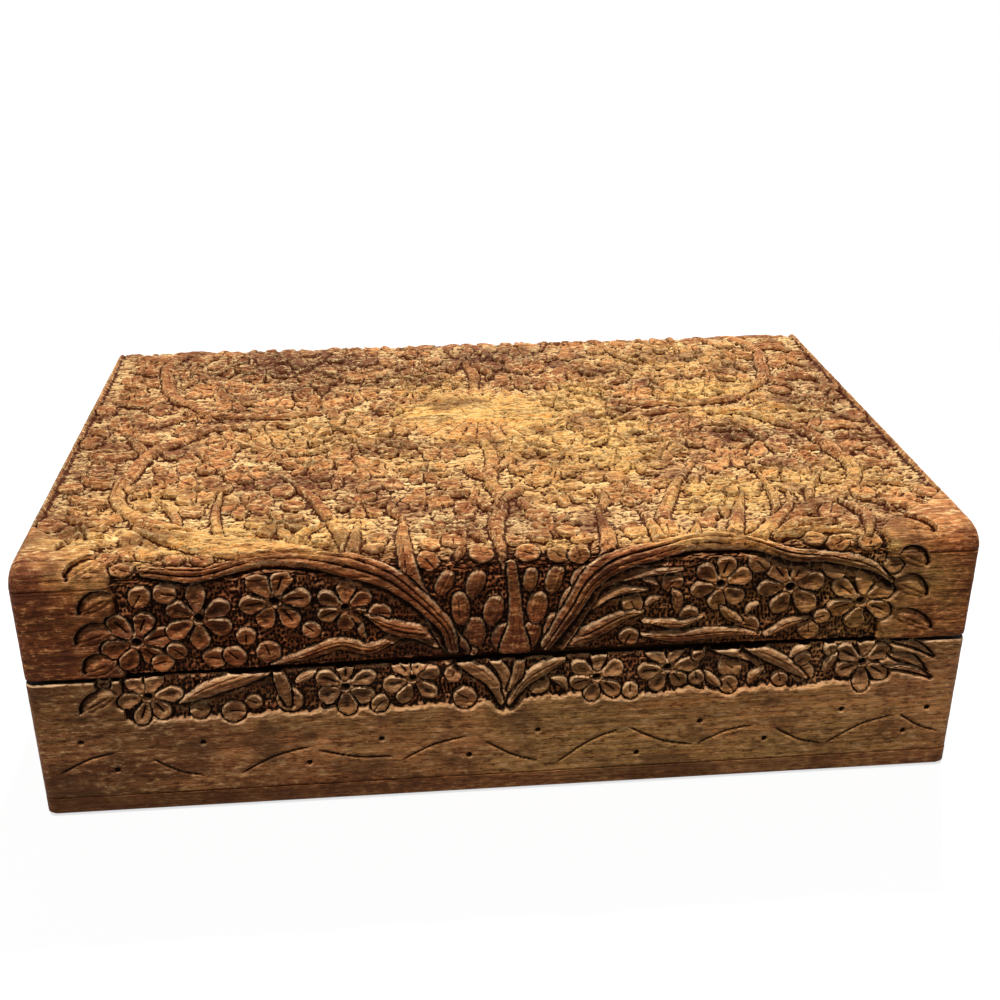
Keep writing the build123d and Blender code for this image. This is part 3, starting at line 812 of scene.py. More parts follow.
def carve_end_waves(panel, low_y, high_y, side):
    """Gouges and dots on the plain wood below a base end's band."""
    pitch = 2 * high_y / END_WAVES
    for n in range(END_WAVES):
        start = low_y + n * pitch
        rise = 1 if (n + side) % 2 else -1
        climb = END_WAVES_RISE * rise
        wave(panel, (start + 1.5, END_WAVES_Z - climb), (start + pitch - 1, END_WAVES_Z + climb), 1.3 * rise)
        drill(panel, start + 0.35 * pitch, END_WAVES_Z + 5.5 * rise, *DOT)


def end_panel(node, seed, side):
    """An end board's face in the front's style: flowers along the band, joined by vines."""
    low, high = node_box(node)
    on_base = low[2] < lid_rim
    row = BASE_ROW if on_base else LID_ROW
    panel = Panel(cells(low[1], high[1], END_CELLS[0]), cells(low[2], high[2], END_CELLS[1]),
                  END_EDGE, seed)
    reach = high[1] - END_MARGIN
    if on_base:
        sink_band(panel, -reach, reach, seed + 1)
    else:
        tears = 1.1 * layered_noise(panel.us, panel.vs, 8, 8, seed + 1)
        inside = reach + tears - np.abs(panel.us)[None, :]
        sink_ground(panel, inside, EDGE_SLOPE, FRONT_STROKES, seed + 2)
    for u in row["places"]:
        wobble = panel.rng.uniform(-0.8, 0.8, 2)
        flower(panel, u + wobble[0], row["v"] + wobble[1], row["radius"] * panel.rng.uniform(0.95, 1.03))
    for flip in (-1, 1):
        carve_end_plant(panel, row, low[2] + row["foot"], flip)
        if on_base:
            thumb_leaf(panel, (flip * reach, row["v"] + 2), (flip * (reach + 8), row["v"] - 3), flip * 3.6)
        else:
            carve_end_vine(panel, low[2], reach, flip)
    leaf(panel, (0, row["v"] - 7), (0, row["v"] + 7), 4.2, 0)
    fill(panel, (-reach, reach, row["v"] - 12, row["v"] + 12),
         [(bud, 3.0, 1.0, 300), (any_leaf, 3.2, 0.75, 500), (bud, 2.1, 0.95, 300)])
    if on_base:
        carve_end_waves(panel, low[1], high[1], side)
    finish_surface(panel, seed + 5)
    return panel


# ---- Board meshes -------------------------------------------------------------------
GOLD_SPOTS = [
    # Where the wood is pale and yellow, partly its own colour and partly painted light on the
    # round-over and on the right of the fronts: (x, s, half length, half height, strength)
    (-4, 174, 34, 24, 0.9), (22, 168, 26, 20, 0.9), (40, 138, 20, 18, 0.7), (62, 106, 18, 15, 0.9),
    (76, 188, 24, 16, 0.8), (-62, 86, 45, 9, 0.55), (48, 80, 50, 7, 0.45), (96, 60, 26, 22, 0.35),
    (88, 166, 26, 12, 0.5), (34, 186, 16, 14, 0.6), (8, 146, 20, 14, 0.5), (-96, 112, 26, 12, 0.4),
    (-20, 134, 22, 14, 0.35), (20, 120, 30, 20, 0.35), (-112, 76, 14, 10, 0.35),
    (103, 72, 2.6, 3.2, 1.0), (28, 150, 40, 24, 0.6), (-16, 200, 26, 16, 0.4), (-50, 160, 34, 20, 0.35),
    (-80, 92, 54, 13, 0.6), (95, 112, 26, 14, 0.5), (70, 215, 40, 22, 0.4), (60, 15, 110, 30, 0.16),
    (74, 57, 46, 16, 0.2),
]
SHADE_SPOTS = [
    # Where it is darkest, in the same terms
    (-122, 12, 60, 40, 0.5), (-127, 60, 26, 40, 0.4), (-70, 226, 50, 22, 0.65), (14, 228, 34, 14, 0.7),
    (-30, 208, 30, 12, 0.5), (50, 212, 16, 8, 0.5), (112, 176, 12, 26, 0.4), (-34, 148, 22, 9, 0.45),
    (86, 146, 30, 9, 0.6), (-55, 122, 26, 10, 0.35), (-6, 94, 22, 10, 0.4), (92, 94, 20, 9, 0.4),
    (-2, 48, 30, 8, 0.25), (120, 3, 26, 10, 0.3), (-120, 150, 18, 60, 0.45), (40, 66, 12, 6, 0.4),
    (0, 37, 160, 6.5, 0.24),
]


def spot_map(panel, spots):
    """How strongly each grid point of a front or of the top lies in one of the spots."""
    us, vs = panel.us, panel.vs
    share = np.zeros_like(panel.height)
    if np.ptp(us) < 2 * half_depth + 1:
        return share
    for u, v, half_u, half_v, strength in spots:
        away = np.hypot((us[None, :] - u) / half_u, (vs[:, None] - v) / half_v)
        away = away + 0.35 * value_noise(us, vs, 9, 9, 5)
        share = np.maximum(share, min(1, 1.45 * strength) * smooth(1.2, 0.3, away))
    return share


def wear_maps(panel):
    """What the wood's finish reads at each grid point: how deep it lies, whether it is an
    arris or a crease, how much it faces up, whether it is ground, how yellow or dark the wood
    is, with the yellow partly painted light, how much of the top's paler tone it has, which is
    partly painted light, and where a motif's rim takes a painted highlight. The base's top edge
    counts as an arris, for a painted highlight along it."""
    vs, height = panel.vs, panel.height
    from_joint = np.minimum(vs, joint_s + back_joint_s - vs) - joint_s
    # The base's top rows count as an arris, for a painted highlight along its top edge
    rub = near(vs[-1] - vs, 0.7) if vs[-1] < lid_rim else 0 * vs
    soft = blurred(height, 1)
    facing_up = -np.gradient(soft, vs, axis=0)
    return {
        "depth": np.clip(-height / 3.0, 0, 1),
        "arris": np.clip((height - soft) / 0.45 + rub[:, None], -1, 1),
        # The top's paler tone, which is partly painted light, fades in over 13 mm from the joint
        "bleached": smooth(0.5, 13, from_joint)[:, None] + 0 * height,
        "crease": np.clip((height - blurred(height, 4)) / 0.9, -1, 1),
        "ledge": np.clip(facing_up / 1.4, 0, 1),
        "ground": 1 - panel.motif,
        "gold": spot_map(panel, GOLD_SPOTS),
        "shade": spot_map(panel, SHADE_SPOTS),
        "tint": panel.tint,
        # A painted highlight on the rims, stronger where they face up
        "rim": panel.rim * np.clip(0.55 + facing_up / 1.2, 0.1, 1),
    }


# The unrolled sheet for baking, in shares of its height: the carved rows, the plain rows
# above them, and a strip with both ends on top.
SHEET_EDGE, CARVED_SHARE, SHEET_TOP, CAP_BASE, CAP_TOP = 0.002, 0.80, 0.955, 0.965, 0.995
CAP_SIZE = 0.46
SHARP_ANGLE = 52  # degrees


def ring_mesh(name, rings, maps, carved):
    """A closed board from rings of points, one ring at each station along the board.
    rings is (rows, stations, 3); the first carved rows are the outer face."""
    rows, stations = rings.shape[:2]
    points = rings.transpose(1, 0, 2).reshape(-1, 3)
    j = np.arange(rows)
    i = np.arange(stations - 1)[:, None]
    after = (j + 1) % rows
    quads = np.stack([i * rows + j, (i + 1) * rows + j, (i + 1) * rows + after, i * rows + after], -1)
    quads = quads.reshape(-1, 4)
    caps = [np.arange(rows), (stations - 1) * rows + np.arange(rows)[::-1]]
    middle = points.mean(0)
    a, b, c = (points[quads[:, n]] - middle for n in range(3))
    if np.einsum("ij,ij->i", a, np.cross(b, c)).sum() < 0:
        quads = quads[:, ::-1]
        caps = [cap[::-1] for cap in caps]
    corners = np.concatenate([quads.ravel(), *caps])
    starts = np.concatenate([np.arange(len(quads)) * 4, len(quads) * 4 + np.array([0, rows])])

    mesh = bpy.data.meshes.new(name)
    mesh.vertices.add(len(points))
    mesh.vertices.foreach_set("co", (points * MM).astype(np.float32).ravel())
    mesh.loops.add(len(corners))
    mesh.loops.foreach_set("vertex_index", corners.astype(np.int32))
    mesh.polygons.add(len(starts))
    mesh.polygons.foreach_set("loop_start", starts.astype(np.int32))
    mesh.update(calc_edges=True)
    # Rows at both ends of the ring, past the outer face: near the gap between lid and base they take painted
    # shade
    grime = np.zeros((rows, stations))
    grime[[carved, carved + 1, rows - 2, rows - 1]] = 1
    for key, values in [*maps.items(), ("grime", grime)]:
        full = np.zeros((rows, stations), np.float32)
        full[:len(values)] = values
        mesh.attributes.new(key, "FLOAT", "POINT").data.foreach_set("value", full.T.ravel())
    add_sheet_uv(mesh, rings, corners, len(quads) * 4, sheet_rows(rings, carved))
    mesh.polygons.foreach_set("use_smooth", np.ones(len(starts), bool))
    mesh.set_sharp_from_angle(angle=radians(SHARP_ANGLE))
    board = bpy.data.objects.new(name, mesh)
    bpy.context.scene.collection.objects.link(board)
    return board


def sheet_rows(rings, carved):
    """The height of each row on the unrolled sheet."""
    middle = rings[:, rings.shape[1] // 2]
    step = np.linalg.norm(np.diff(np.vstack([middle, middle[:1]]), axis=0), axis=1)
    front = np.concatenate([[0], np.cumsum(step[:carved - 1])])
    rest = np.cumsum(step[carved - 1:])
    plain = CARVED_SHARE + (SHEET_TOP - CARVED_SHARE - SHEET_EDGE) * rest[:-1] / rest[-1]
    return SHEET_EDGE + np.concatenate([CARVED_SHARE * front / front[-1], plain])


def add_sheet_uv(mesh, rings, corners, sides, sheet_v):
    """Unroll the board for baking: its ring up the sheet, and both ends in a strip on top.
    The first sides corners are the ring's, and the rest are the two ends'."""
    rows = len(rings)
    along = np.ptp(rings.reshape(-1, 3), axis=0).argmax()
    station_u = rings[0, :, along] - rings[0, :, along].min()
    station_u = SHEET_EDGE + (1 - 2 * SHEET_EDGE) * station_u / station_u.max()
    vertex, row = corners // rows, corners % rows
    u, v = station_u[vertex], sheet_v[row]
    quad_row = row[:sides].reshape(-1, 4)
    wraps = (quad_row.max(1) == rows - 1) & (quad_row.min(1) == 0)
    v[:sides].reshape(-1, 4)[wraps[:, None] & (quad_row == 0)] = SHEET_TOP
    others = [n for n in range(3) if n != along]
    for n, station in enumerate((0, -1)):
        part = slice(sides + n * rows, sides + (n + 1) * rows)
        flat = rings[row[part], station][:, others]
        flat = (flat - flat.min(0)) / np.ptp(flat, axis=0).max()
        wide = int(np.ptp(flat, axis=0).argmax())
        u[part] = 0.01 + 0.5 * n + CAP_SIZE * flat[:, wide]
        v[part] = CAP_BASE + (CAP_TOP - CAP_BASE) * flat[:, 1 - wide]
    layer = mesh.uv_layers.new(name="OFBake")
    layer.data.foreach_set("uv", np.stack([u, v], 1).astype(np.float32).ravel())


def worn_edge(distance):
    """How far a worn board edge falls away, by the distance in from it."""
    return ARRIS_WEAR * near(distance, ARRIS) ** 2


def corner_drop(distance):
    """How far a rounded corner falls away, by the distance in from the board's end."""
    gap = np.clip(CORNER - distance, 0, CORNER)
    return CORNER - np.sqrt(CORNER**2 - gap**2)


def from_ends(coordinates):
    """The distance of each coordinate from the nearer end."""
    return np.minimum(coordinates - coordinates[0], coordinates[-1] - coordinates)


# The plain rows of a board's ring, from the outer face's top row over the upper edge, down
# the inner face and back under: (share of the way to the inner face, share of the height).
ACROSS, DOWN = (0.04, 0.5, 0.97), (0.985, 0.8, 0.5, 0.2, 0.015)
PLAIN_ROWS = [(share, 1) for share in ACROSS] + [(1, share) for share in DOWN]
PLAIN_ROWS += [(share, 0) for share in reversed(ACROSS)]
UNDER_ROWS = (0.995, 0.8, 0.6, 0.4, 0.2, 0.005)  # shares of the way along the top's underside


def carved_board(name, panel, node, axis, side, arch=None, corners=False):
    """A front or end board: its carved outer face, swept along x or y, and plain other faces.
    axis is the way across the board, 0 for x and 1 for y; side is its outward sign."""
    low, high = node_box(node)
    outer, inner = (low[axis], high[axis]) if side < 0 else (high[axis], low[axis])
    us, vs = panel.us, panel.vs
    ends = from_ends(us)[None, :]
    fall = -panel.height + worn_edge(from_ends(vs))[:, None]
    fall = fall + (corner_drop(ends) if corners else worn_edge(ends) * 0.6)
    bottom = low[2] + (arch(us) if arch else 0 * us)
    carved = len(vs)
    rings = np.zeros((carved + len(PLAIN_ROWS), len(us), 3))
    rings[:, :, 1 - axis] = us
    rings[:carved, :, axis] = outer - side * fall
    rings[:carved, :, 2] = bottom + (vs[:, None] - vs[0]) * (high[2] - bottom) / (vs[-1] - vs[0])
    for n, (share, level) in enumerate(PLAIN_ROWS, carved):
        start = rings[carved - 1 if level > 0.5 else 0, :, axis]
        rings[n, :, axis] = start * (1 - share) + inner * share
        rings[n, :, 2] = bottom + (high[2] - bottom) * level
    board = ring_mesh(name, rings, wear_maps(panel), carved)
    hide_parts(node)
    return board


def carved_top(name, panel):
    """The lid's top board, carved over its front and back rounds."""
    us, vs = panel.us, panel.vs
    y, z, normal_y, normal_z = (a[:, None] for a in lid_section(vs))
    fall = -panel.height + corner_drop(from_ends(us)[None, :]) + worn_edge(from_ends(vs))[:, None]
    carved = len(vs)
    rings = np.zeros((carved + len(UNDER_ROWS), len(us), 3))
    rings[:, :, 0] = us
    rings[:carved, :, 1] = y - normal_y * fall
    rings[:carved, :, 2] = np.maximum(z - normal_z * fall, joint_s)
    first, last = rings[0, :, 1], rings[carved - 1, :, 1]
    rings[carved:, :, 1] = first + (last - first) * np.array(UNDER_ROWS)[:, None]
    rings[carved:, :, 2] = joint_s
    board = ring_mesh(name, rings, wear_maps(panel), carved)
    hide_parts("lid_top")
    return board


def lid_arch(us):
    """How much higher than straight the lid's worn lower edge is along the front."""
    wander = 0.12 * value_noise(us, np.array([0.0, 1.0]), 9, 1, 91)[0]
    return 0.35 + 1.15 * np.exp(-((us - 8) / 62) ** 2) + wander * smooth(127, 110, np.abs(us))


boards = {
    "lid": [carved_top("carved_lid_top", carve_lid_top()),
            carved_board("carved_lid_front", carve_lid_front(), "lid_front", 1, -1, lid_arch, True)],
    "base": [carved_board("carved_base_front", carve_base_front(), "base_front", 1, -1, None, True)],
}
END_BOARDS = [("lid_left", -1), ("lid_right", 1), ("base_left", -1), ("base_right", 1)]
for number, (node, side) in enumerate(END_BOARDS):
    panel = end_panel(node, END_SEED + END_SEED_STEP * number, side)
    board = carved_board(f"carved_{node}", panel, node, 0, side)
    boards[node.split("_")[0]].append(board)
for body, pieces in boards.items():
    for piece in pieces:
        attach(piece, body)


# ---- Materials ----------------------------------------------------------------------
class Field:
    """What a node gives, with the arithmetic that makes the next node."""

    def __init__(self, nodes, socket):
        self.nodes, self.socket = nodes, socket

    def __add__(self, other):
        return self.nodes.math("ADD", self, other)

    def __sub__(self, other):
        return self.nodes.math("SUBTRACT", self, other)

    def __mul__(self, other):
        return self.nodes.math("MULTIPLY", self, other)


class Nodes:
    """A node tree that is built from small steps."""

    def __init__(self, tree):
        self.tree = tree

    def make(self, kind, values=(), output=0, **settings):
        """A new node, as one of its outputs. values are its inputs, in order or by their keys."""
        node = self.tree.nodes.new("ShaderNode" + kind)
        for key, setting in settings.items():
            setattr(node, key, setting)
        for key, value in values.items() if isinstance(values, dict) else enumerate(values):
            self.join(value, node.inputs[key])
        return Field(self, node.outputs[output])

    def join(self, source, socket):
        """Link what a node gives to a socket, or set the socket to a plain value."""
        if isinstance(source, Field):
            self.tree.links.new(source.socket, socket)
        else:
            socket.default_value = source

    def place(self, stretch, warp=None, warp_size=0.0):
        """The object's own coordinates in millimetres, times stretch, bent by another field."""
        place = self.make("TexCoord", output="Object")
        place = self.make("VectorMath", (place, [s / MM for s in stretch]), operation="MULTIPLY")
        if warp is None:
            return place
        return self.make("VectorMath", (warp, (warp_size,) * 3, place), operation="MULTIPLY_ADD")

    def noise(self, place, detail=3.0, roughness=0.55, output="Fac"):
        """A noise field, about 0.5 on average."""
        values = {"Vector": place, "Scale": 1.0, "Detail": detail, "Roughness": roughness}
        return self.make("TexNoise", values, output)

    def attribute(self, name):
        """A value kept on the mesh's points; 0 where the mesh has none."""
        return self.make("Attribute", output="Fac", attribute_name=name)

    def span(self, value, low, high, out_low=0.0, out_high=1.0):
        """Map low..high to out_low..out_high and hold it there outside."""
        return self.make("MapRange", (value, low, high, out_low, out_high),
                         interpolation_type="SMOOTHSTEP")

    def math(self, operation, a, b=0.0):
        """One arithmetic step."""
        return self.make("Math", (a, b), operation=operation)

    def mix(self, share, a, b):
        """Colour b over colour a, by share."""
        return self.make("Mix", {0: share, 6: a, 7: b}, 2, data_type="RGBA")

    def coat(self, tone, colour, field, low, high, share=1.0):
        """A colour laid over a tone where a field runs from low to high, by share at most."""
        return self.mix(self.span(field, low, high, 0.0, share), tone, colour)


class Finish(Nodes):
    """A node material."""

    def __init__(self, name):
        self.material = bpy.data.materials.new(name)
        self.material.use_nodes = True
        super().__init__(self.material.node_tree)
        self.inputs = self.tree.nodes["Principled BSDF"].inputs

    def bump(self, height, distance, strength=1.0):
        """Fine relief, with distance in millimetres."""
        values = {"Strength": strength, "Distance": distance * MM, "Height": height}
        self.join(self.make("Bump", values), self.inputs["Normal"])


def linear(red, green, blue):
    """A colour given as 0-255 screen values, as the shader wants it."""
    screen = np.array([red, green, blue]) / 255
    low, high = screen / 12.92, ((screen + 0.055) / 1.055) ** 2.4
    return (*np.where(screen <= 0.04045, low, high), 1.0)


# Colours that all woods share. The yellows also paint light on the yellow spots, and the darkest one is
# painted shade in the gap between lid and base.
LINE_BROWN, PORE_BROWN, SPECK_BROWN = linear(90, 42, 14), linear(50, 22, 6), linear(62, 26, 8)
YELLOW_DEEP, YELLOW_PALE, GRIME = linear(248, 166, 78), linear(255, 224, 136), linear(16, 5, 2)
ROUGHNESS = (0.45, 0.62)
DULL = 0.09  # specular level of oiled wood
GRIME_REACH = (2, 4)  # how far from the parting line the painted shade is full, and gone
GRIME_DEPTH_X, GRIME_DEPTH_Y = (1.5, 3), (3.5, 6.5)  # and how far in from an outer face


class Wood(Finish):
    """Oiled hardwood. tones holds its colours and amounts; where the carving's own map says
    so, the top's tones take their place: its own paler wood, and partly painted light. grain is
    the axis that the fibres run along."""

    def __init__(self, name, tones, bleached=None, grain=0):
        super().__init__(name)
        self.tones, self.bleached, self.grain = tones, bleached, grain
        sway = self.noise(self.place((0.02, 0.02, 0.02)), 2, output="Color")
        self.bands = self.noise(self.place(self.along(0.14, 0.010), sway, 2.2), 4, 0.6)
        self.fibres = self.noise(self.place(self.along(0.55, 0.03), sway, 2.0), 6, 0.72)
        self.lines = self.noise(self.place(self.along(1.2, 0.05), sway, 3.0), 4, 0.7)
        self.pores = self.noise(self.place(self.along(2.0, 0.3)), 2)
        self.patches = self.noise(self.place((0.028, 0.028, 0.045)), 5, 0.65)
        self.stains = self.noise(self.place((0.07, 0.07, 0.07)), 4, 0.6)
        self.specks = self.noise(self.place(self.along(0.9, 0.35)), 5, 0.75)
        self.paint()
        self.polish()

    def along(self, fine, coarse):
        """A stretch for fields that run with the fibres."""
        stretch = [fine] * 3
        stretch[self.grain] = coarse
        return stretch

    def colour(self, key):
        """One of the wood's colours."""
        if not self.bleached:
            return self.tones[key]
        return self.mix(self.attribute("bleached"), self.tones[key], self.bleached[key])

    def amount(self, key):
        """One of the wood's amounts."""
        if not self.bleached:
            return self.tones[key]
        return self.span(self.attribute("bleached"), 0, 1, self.tones[key], self.bleached[key])

    def paint(self):
        """Build the colour up, coat by coat."""
        carved = "ground" in self.tones
        dark = self.colour("dark")
        tone = self.coat(dark, self.colour("light"), self.bands, 0.34, 0.66)
        tone = self.coat(tone, self.colour("patina"), self.patches, 0.42, 0.62, 0.8)
        if carved:
            tone = self.carving(tone, dark)
        tone = self.figure(tone, dark)
        place = self.make("SeparateXYZ", (self.place((1, 1, 1)),)).socket.node
        x, y, z = (Field(self, axis) for axis in place.outputs)
        # Darker towards the left end
        if "left" in self.tones:
            tone = self.coat(tone, self.tones["stain"], x, 20, -120, self.tones["left"])
        if carved:
            # Painted shade in the gap between lid and base goes on last
            tone = self.grime(self.wear(tone), x, y, z)
        self.join(tone, self.inputs["Base Color"])

    def carving(self, tone, dark):
        """Each motif's own tint, the ground behind them, the yellow spots, partly painted light, and the
        dark spots.
        """
        tint = self.attribute("tint")
        tone = self.coat(tone, dark, tint, 0.0, 1.0, 0.4)
        tone = self.coat(tone, self.colour("light"), tint, 0.0, -1.0, 0.4)
        ground = self.span(self.attribute("ground"), 0.2, 0.9) * self.span(self.specks, 0.3, 0.55, 0.45, 1.0)
        ground = ground * self.span(self.stains, 0.40, 0.64, 1.0, 0.35)
        tone = self.mix(ground, tone, self.colour("ground"))
        # The yellow spots: the wood's own yellow, and painted light on the round-over and on the right of
        # the fronts
        yellow = self.coat(YELLOW_DEEP, YELLOW_PALE, self.fibres, 0.35, 0.65)
        tone = self.mix(self.attribute("gold"), tone, yellow)
        shade = self.attribute("shade") * self.span(self.stains, 0.35, 0.6, 0.6, 1.0)
        return self.mix(shade, tone, self.colour("stain"))

    def figure(self, tone, dark):
        """Streaks and pores along the fibres, and specks and stains over them."""
        streaks = self.amount("streaks")
        tone = self.mix(self.span(self.fibres, 0.46, 0.66) * streaks, tone, dark)
        tone = self.mix(self.span(self.lines, 0.50, 0.66) * streaks, tone, LINE_BROWN)
        tone = self.coat(tone, PORE_BROWN, self.pores, 0.58, 0.70, 0.7)
        tone = self.coat(tone, self.colour("pale"), self.specks, 0.52, 0.64, 0.8)
        tone = self.coat(tone, SPECK_BROWN, self.specks, 0.47, 0.36, 0.75)
        return self.coat(tone, self.colour("stain"), self.stains, 0.50, 0.64, 0.65)

    def wear(self, tone):
        """Rubbed arrises, with a painted highlight along the base's top edge; painted light on
        ledges that face up; dirt and painted shade in what lies deep and in creases; and a painted
        highlight on a motif's rim.
        """
        arris, soil, worn = self.attribute("arris"), self.amount("soil"), self.colour("worn")
        # Rubbed arrises, with a painted highlight along the base's top edge
        rub = self.span(arris, 0.30, 0.85) * self.span(self.specks, 0.40, 0.60, 0.0, 0.9)
        tone = self.mix(rub * self.amount("rub"), tone, worn)
        # Darker by depth, in creases and concave arrises, lighter on convex ones and on the yellow spots:
        # dirt, and painted shade
        dirt = self.attribute("depth") * soil + self.attribute("crease") * self.amount("crease")
        dirt = dirt + arris * self.amount("sharp") + self.attribute("gold") * -0.4
        # Painted light on ledges that face up, which also takes away some of the painted shade there
        lit = self.attribute("ledge") * soil * self.span(self.specks, 0.40, 0.56, 0.2, 1.0)
        tone = self.mix(lit * 0.35, tone, worn)
        tone = self.coat(tone, self.colour("soiled"), dirt - lit * 0.7, 0.20, 0.80, 0.96)
        # A painted highlight on the motifs' rims
        edge = self.attribute("rim") * self.span(self.specks, 0.40, 0.54, 0.1, 1.0)
        return self.mix(edge * self.amount("edge"), tone, worn)

    def grime(self, tone, x, y, z):
        """Painted shade in the gap between lid and base, near the outer faces."""
        full, gone = GRIME_REACH
        from_gap = self.math("ABSOLUTE", z - base_rim)
        in_gap = self.attribute("grime") * self.span(from_gap, gone, full)
        full, gone = GRIME_DEPTH_X
        near_face = (self.span(x, half_width - gone, half_width - full)
                     + self.span(x, gone - half_width, full - half_width))
        full, gone = GRIME_DEPTH_Y
        near_face = near_face + self.span(y, gone - half_depth, full - half_depth)
        return self.coat(tone, GRIME, in_gap * near_face, 0.0, 1.0)

    def polish(self):
        """The sheen, and the fibres' own fine relief."""
        low, high = ROUGHNESS
        patchy = self.span(self.patches, 0.3, 0.7, 0.0, high - low)
        streaky = self.span(self.fibres, 0.3, 0.8, low, low + 0.12)
        self.join(patchy + streaky, self.inputs["Roughness"])
        self.inputs["Specular IOR Level"].default_value = DULL
        relief = self.fibres * 0.7 + self.lines * -0.7 + self.specks * 0.6
        self.bump(relief, self.tones["relief"])


def metal(name, colour, tarnish, rough):
    """Aged sheet or wire: handled metal with tarnish and fine scratches."""
    finish = Finish(name)
    bloom = finish.noise(finish.place((0.35, 0.35, 0.35)), 5, 0.6)
    scratch = finish.noise(finish.place((0.3, 6.0, 6.0)), 2)
    tone = finish.coat(linear(*colour), linear(*tarnish), bloom, 0.42, 0.66)
    finish.join(tone, finish.inputs["Base Color"])
    finish.join(finish.span(bloom, 0.35, 0.7, rough, rough + 0.28), finish.inputs["Roughness"])
    finish.inputs["Metallic"].default_value = 1.0
    finish.bump(scratch, 0.04, 0.5)
    return finish.material


def tones(light, dark, patina, pale, stain, **others):
    """A wood's colours, given as 0-255 screen values, with its amounts."""
    others.update(light=light, dark=dark, patina=patina, pale=pale, stain=stain)
    return {key: linear(*value) if isinstance(value, tuple) else value for key, value in others.items()}


# The fronts' and ends' tones are written darker than the top's: partly their own wood, partly painted shade
SIDE_TONES = tones(
    (222, 126, 66), (130, 62, 32), (160, 102, 50), (255, 172, 106), (86, 40, 20),
    worn=(255, 208, 156), ground=(176, 94, 52), soiled=(16, 3, 0),
    streaks=0.95, relief=1.1, soil=0.80, rub=0.6, edge=1.0, crease=-0.65, sharp=-0.9,
)
TOP_TONES = tones(
    (250, 172, 100), (160, 92, 50), (190, 118, 64), (255, 220, 154), (98, 48, 20),
    worn=(255, 222, 158), ground=(255, 212, 144), soiled=(76, 24, 2),
    streaks=0.85, soil=0.26, rub=0.6, edge=0.08, crease=-0.55, sharp=-1.25,
)
BASE_TONES = SIDE_TONES | tones(
    (226, 150, 92), (148, 86, 50), (180, 130, 76), (230, 176, 120), (92, 56, 32),
    streaks=0.55, relief=0.45, rub=0.45,
)
BACK_TONES = tones(
    (204, 134, 80), (140, 78, 40), (156, 112, 64), (220, 160, 102), (94, 50, 22),
    streaks=0.8, relief=0.5,
)
BOTTOM_TONES = tones(
    (186, 122, 72), (128, 76, 42), (154, 108, 64), (200, 142, 90), (84, 46, 24),
    streaks=0.7, relief=0.5, left=0.6,
)
lid_wood = Wood("lid_wood_carved", SIDE_TONES, TOP_TONES).material
base_wood = Wood("base_wood_carved", BASE_TONES).material
end_wood = Wood("end_wood_carved", BASE_TONES, grain=1).material
back_wood = Wood("back_wood", BACK_TONES).material
bottom_wood = Wood("bottom_wood", BOTTOM_TONES).material
brass = metal("aged_brass", (196, 158, 92), (120, 88, 50), 0.30)
screw_brass = metal("screw_heads", (206, 170, 104), (132, 98, 56), 0.26)
steel = metal("nail_heads", (110, 104, 98), (74, 58, 48), 0.5)


def paint(thing, material):
    """Give every slot of an object the material."""
    if not thing.data.materials:
        thing.data.materials.append(material)
    for slot in thing.material_slots:
        slot.material = material


def node_material(node):
    """What a CAD node that still shows is made of."""
    for part_of_name, material in (("screws", screw_brass), ("nails", steel), ("hinge_", brass)):
        if part_of_name in node:
            return material
    return bottom_wood if node == "base_bottom" else back_wood


def board_wood(name):
    """What a carved board is made of: its fibres run along the board."""
    if name.endswith(("_left", "_right")):
        return end_wood
    return base_wood if "base" in name else lid_wood


for piece in boards["lid"] + boards["base"]:
    paint(piece, board_wood(piece.name))
for node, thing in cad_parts.items():
    if not thing.hide_render:
        paint(thing, node_material(node))

# ---- Floor, light and camera --------------------------------------------------------
FLOOR_RADIUS = 700.0
SHADOW_REACH = (190.0, 420.0)  # from the middle, where the floor's shade starts and ends to fade
FLOOR_WHITE, FLOOR_BOUNCE = 0.93, 0.12  # the floor as it is seen, and as it lights the box
FLOOR_EVEN = 0.72  # the least share of plain white in the seen floor
SKY_LEVEL, WHITE = 0.185, (1, 1, 1, 1)
CAMERA_PLACE = (-30.2, -382.6, 230.6)
CAMERA_PITCH, CAMERA_YAW = -25.3, -5.35
LENS, SENSOR = 46.8, 36
LIGHTS = [
    # (name, direction it comes from, level on a white surface facing it, spread in degrees)
    ("key", (0.25, 0.80, 1.0), 1.0, 7),
    ("graze", (-0.14, -0.17, 1.0), 0.88, 7),
]


def seen_directly(nodes):
    """1 for what the camera, a reflection or glass sees, 0 for light that bounces."""
    rays = nodes.make("LightPath").socket.node.outputs
    camera_ray, glossy, through = (
        Field(nodes, rays[f"Is {kind} Ray"]) for kind in ("Camera", "Glossy", "Transmission")
    )
    return nodes.math("MAXIMUM", nodes.math("MAXIMUM", camera_ray, glossy), through)


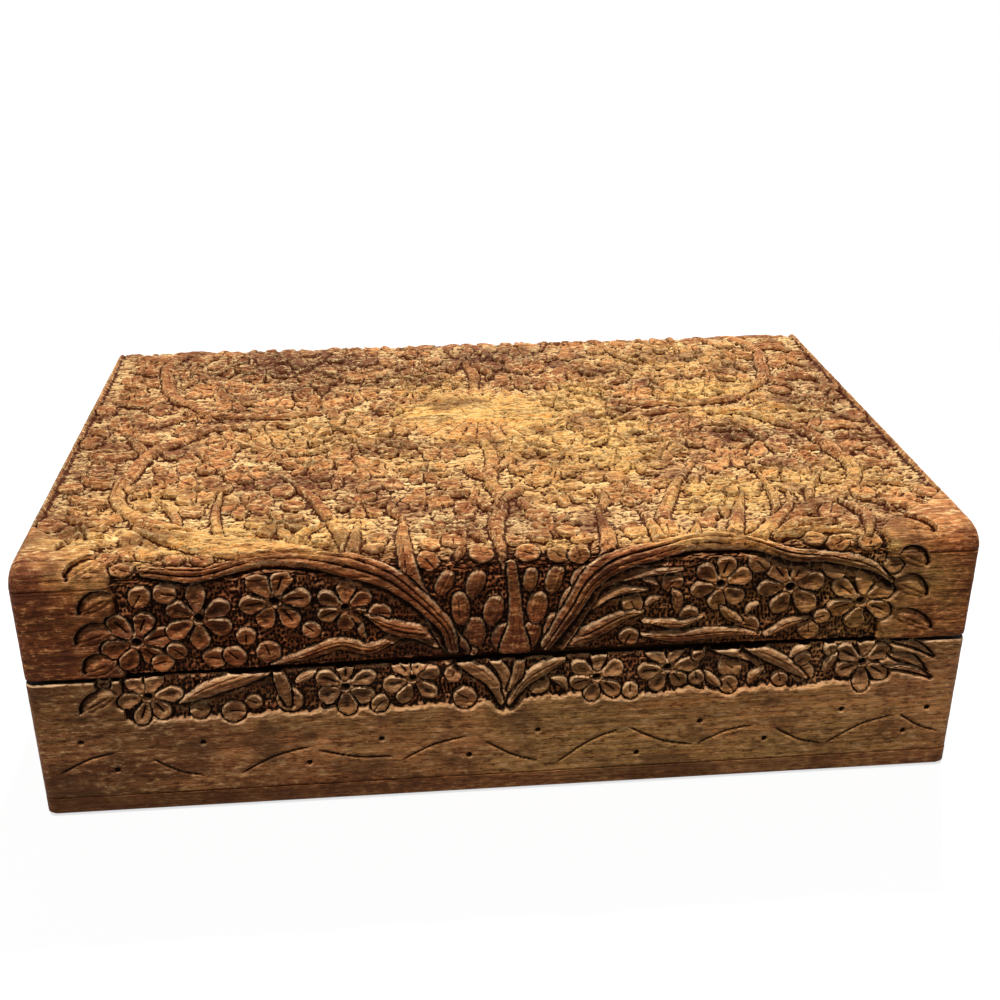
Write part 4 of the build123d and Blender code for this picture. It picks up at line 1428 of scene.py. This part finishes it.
def white_floor():
    """Matt white that holds the box's shadow and fades to an even white further out."""
    finish = Finish("floor_white")
    direct = seen_directly(finish)
    tone = finish.mix(direct, (FLOOR_BOUNCE,) * 3 + (1,), (FLOOR_WHITE,) * 3 + (1,))
    finish.join(tone, finish.inputs["Base Color"])
    finish.inputs["Roughness"].default_value = 1.0
    finish.inputs["Specular IOR Level"].default_value = 0.0
    place = finish.make("TexCoord", output="Object")
    distance = finish.make("VectorMath", (place,), "Value", operation="LENGTH")
    far = finish.span(distance, *(reach * MM for reach in SHADOW_REACH))
    even = finish.math("MAXIMUM", far, FLOOR_EVEN) * direct
    shader = Field(finish, finish.tree.nodes["Principled BSDF"].outputs[0])
    blend = finish.make("MixShader", (even, shader, finish.make("Emission")))
    finish.join(blend, finish.tree.nodes["Material Output"].inputs["Surface"])
    return finish.material


bpy.ops.mesh.primitive_circle_add(vertices=96, radius=FLOOR_RADIUS * MM, fill_type="NGON")
floor = bpy.context.object
floor.name = "floor"
floor.data.materials.append(white_floor())

for name, source, level, spread in LIGHTS:
    light_data = bpy.data.lights.new(name, "SUN")
    light_data.energy = pi * level
    light_data.angle = radians(spread)
    light = bpy.data.objects.new(name, light_data)
    light.rotation_mode = "QUATERNION"
    light.rotation_quaternion = Vector(source).to_track_quat("Z", "Y")
    bpy.context.scene.collection.objects.link(light)

world = bpy.data.worlds.new("studio")
world.use_nodes = True
bpy.context.scene.world = world
sky = Nodes(world.node_tree)
background = world.node_tree.nodes["Background"]
sky.join(WHITE, background.inputs["Color"])
sky.join(sky.span(seen_directly(sky), 0, 1, SKY_LEVEL, 1.0), background.inputs["Strength"])

camera_data = bpy.data.cameras.new("camera")
camera_data.lens = LENS
camera_data.sensor_width = SENSOR
camera = bpy.data.objects.new("camera", camera_data)
bpy.context.scene.collection.objects.link(camera)
camera.matrix_world = (
    Matrix.Translation([c * MM for c in CAMERA_PLACE])
    @ Matrix.Rotation(radians(CAMERA_YAW), 4, "Z")
    @ Matrix.Rotation(radians(CAMERA_PITCH), 4, "X")
    @ Matrix.Rotation(radians(90), 4, "X")
)
bpy.context.scene.camera = camera
bpy.context.scene.view_settings.view_transform = "Standard"
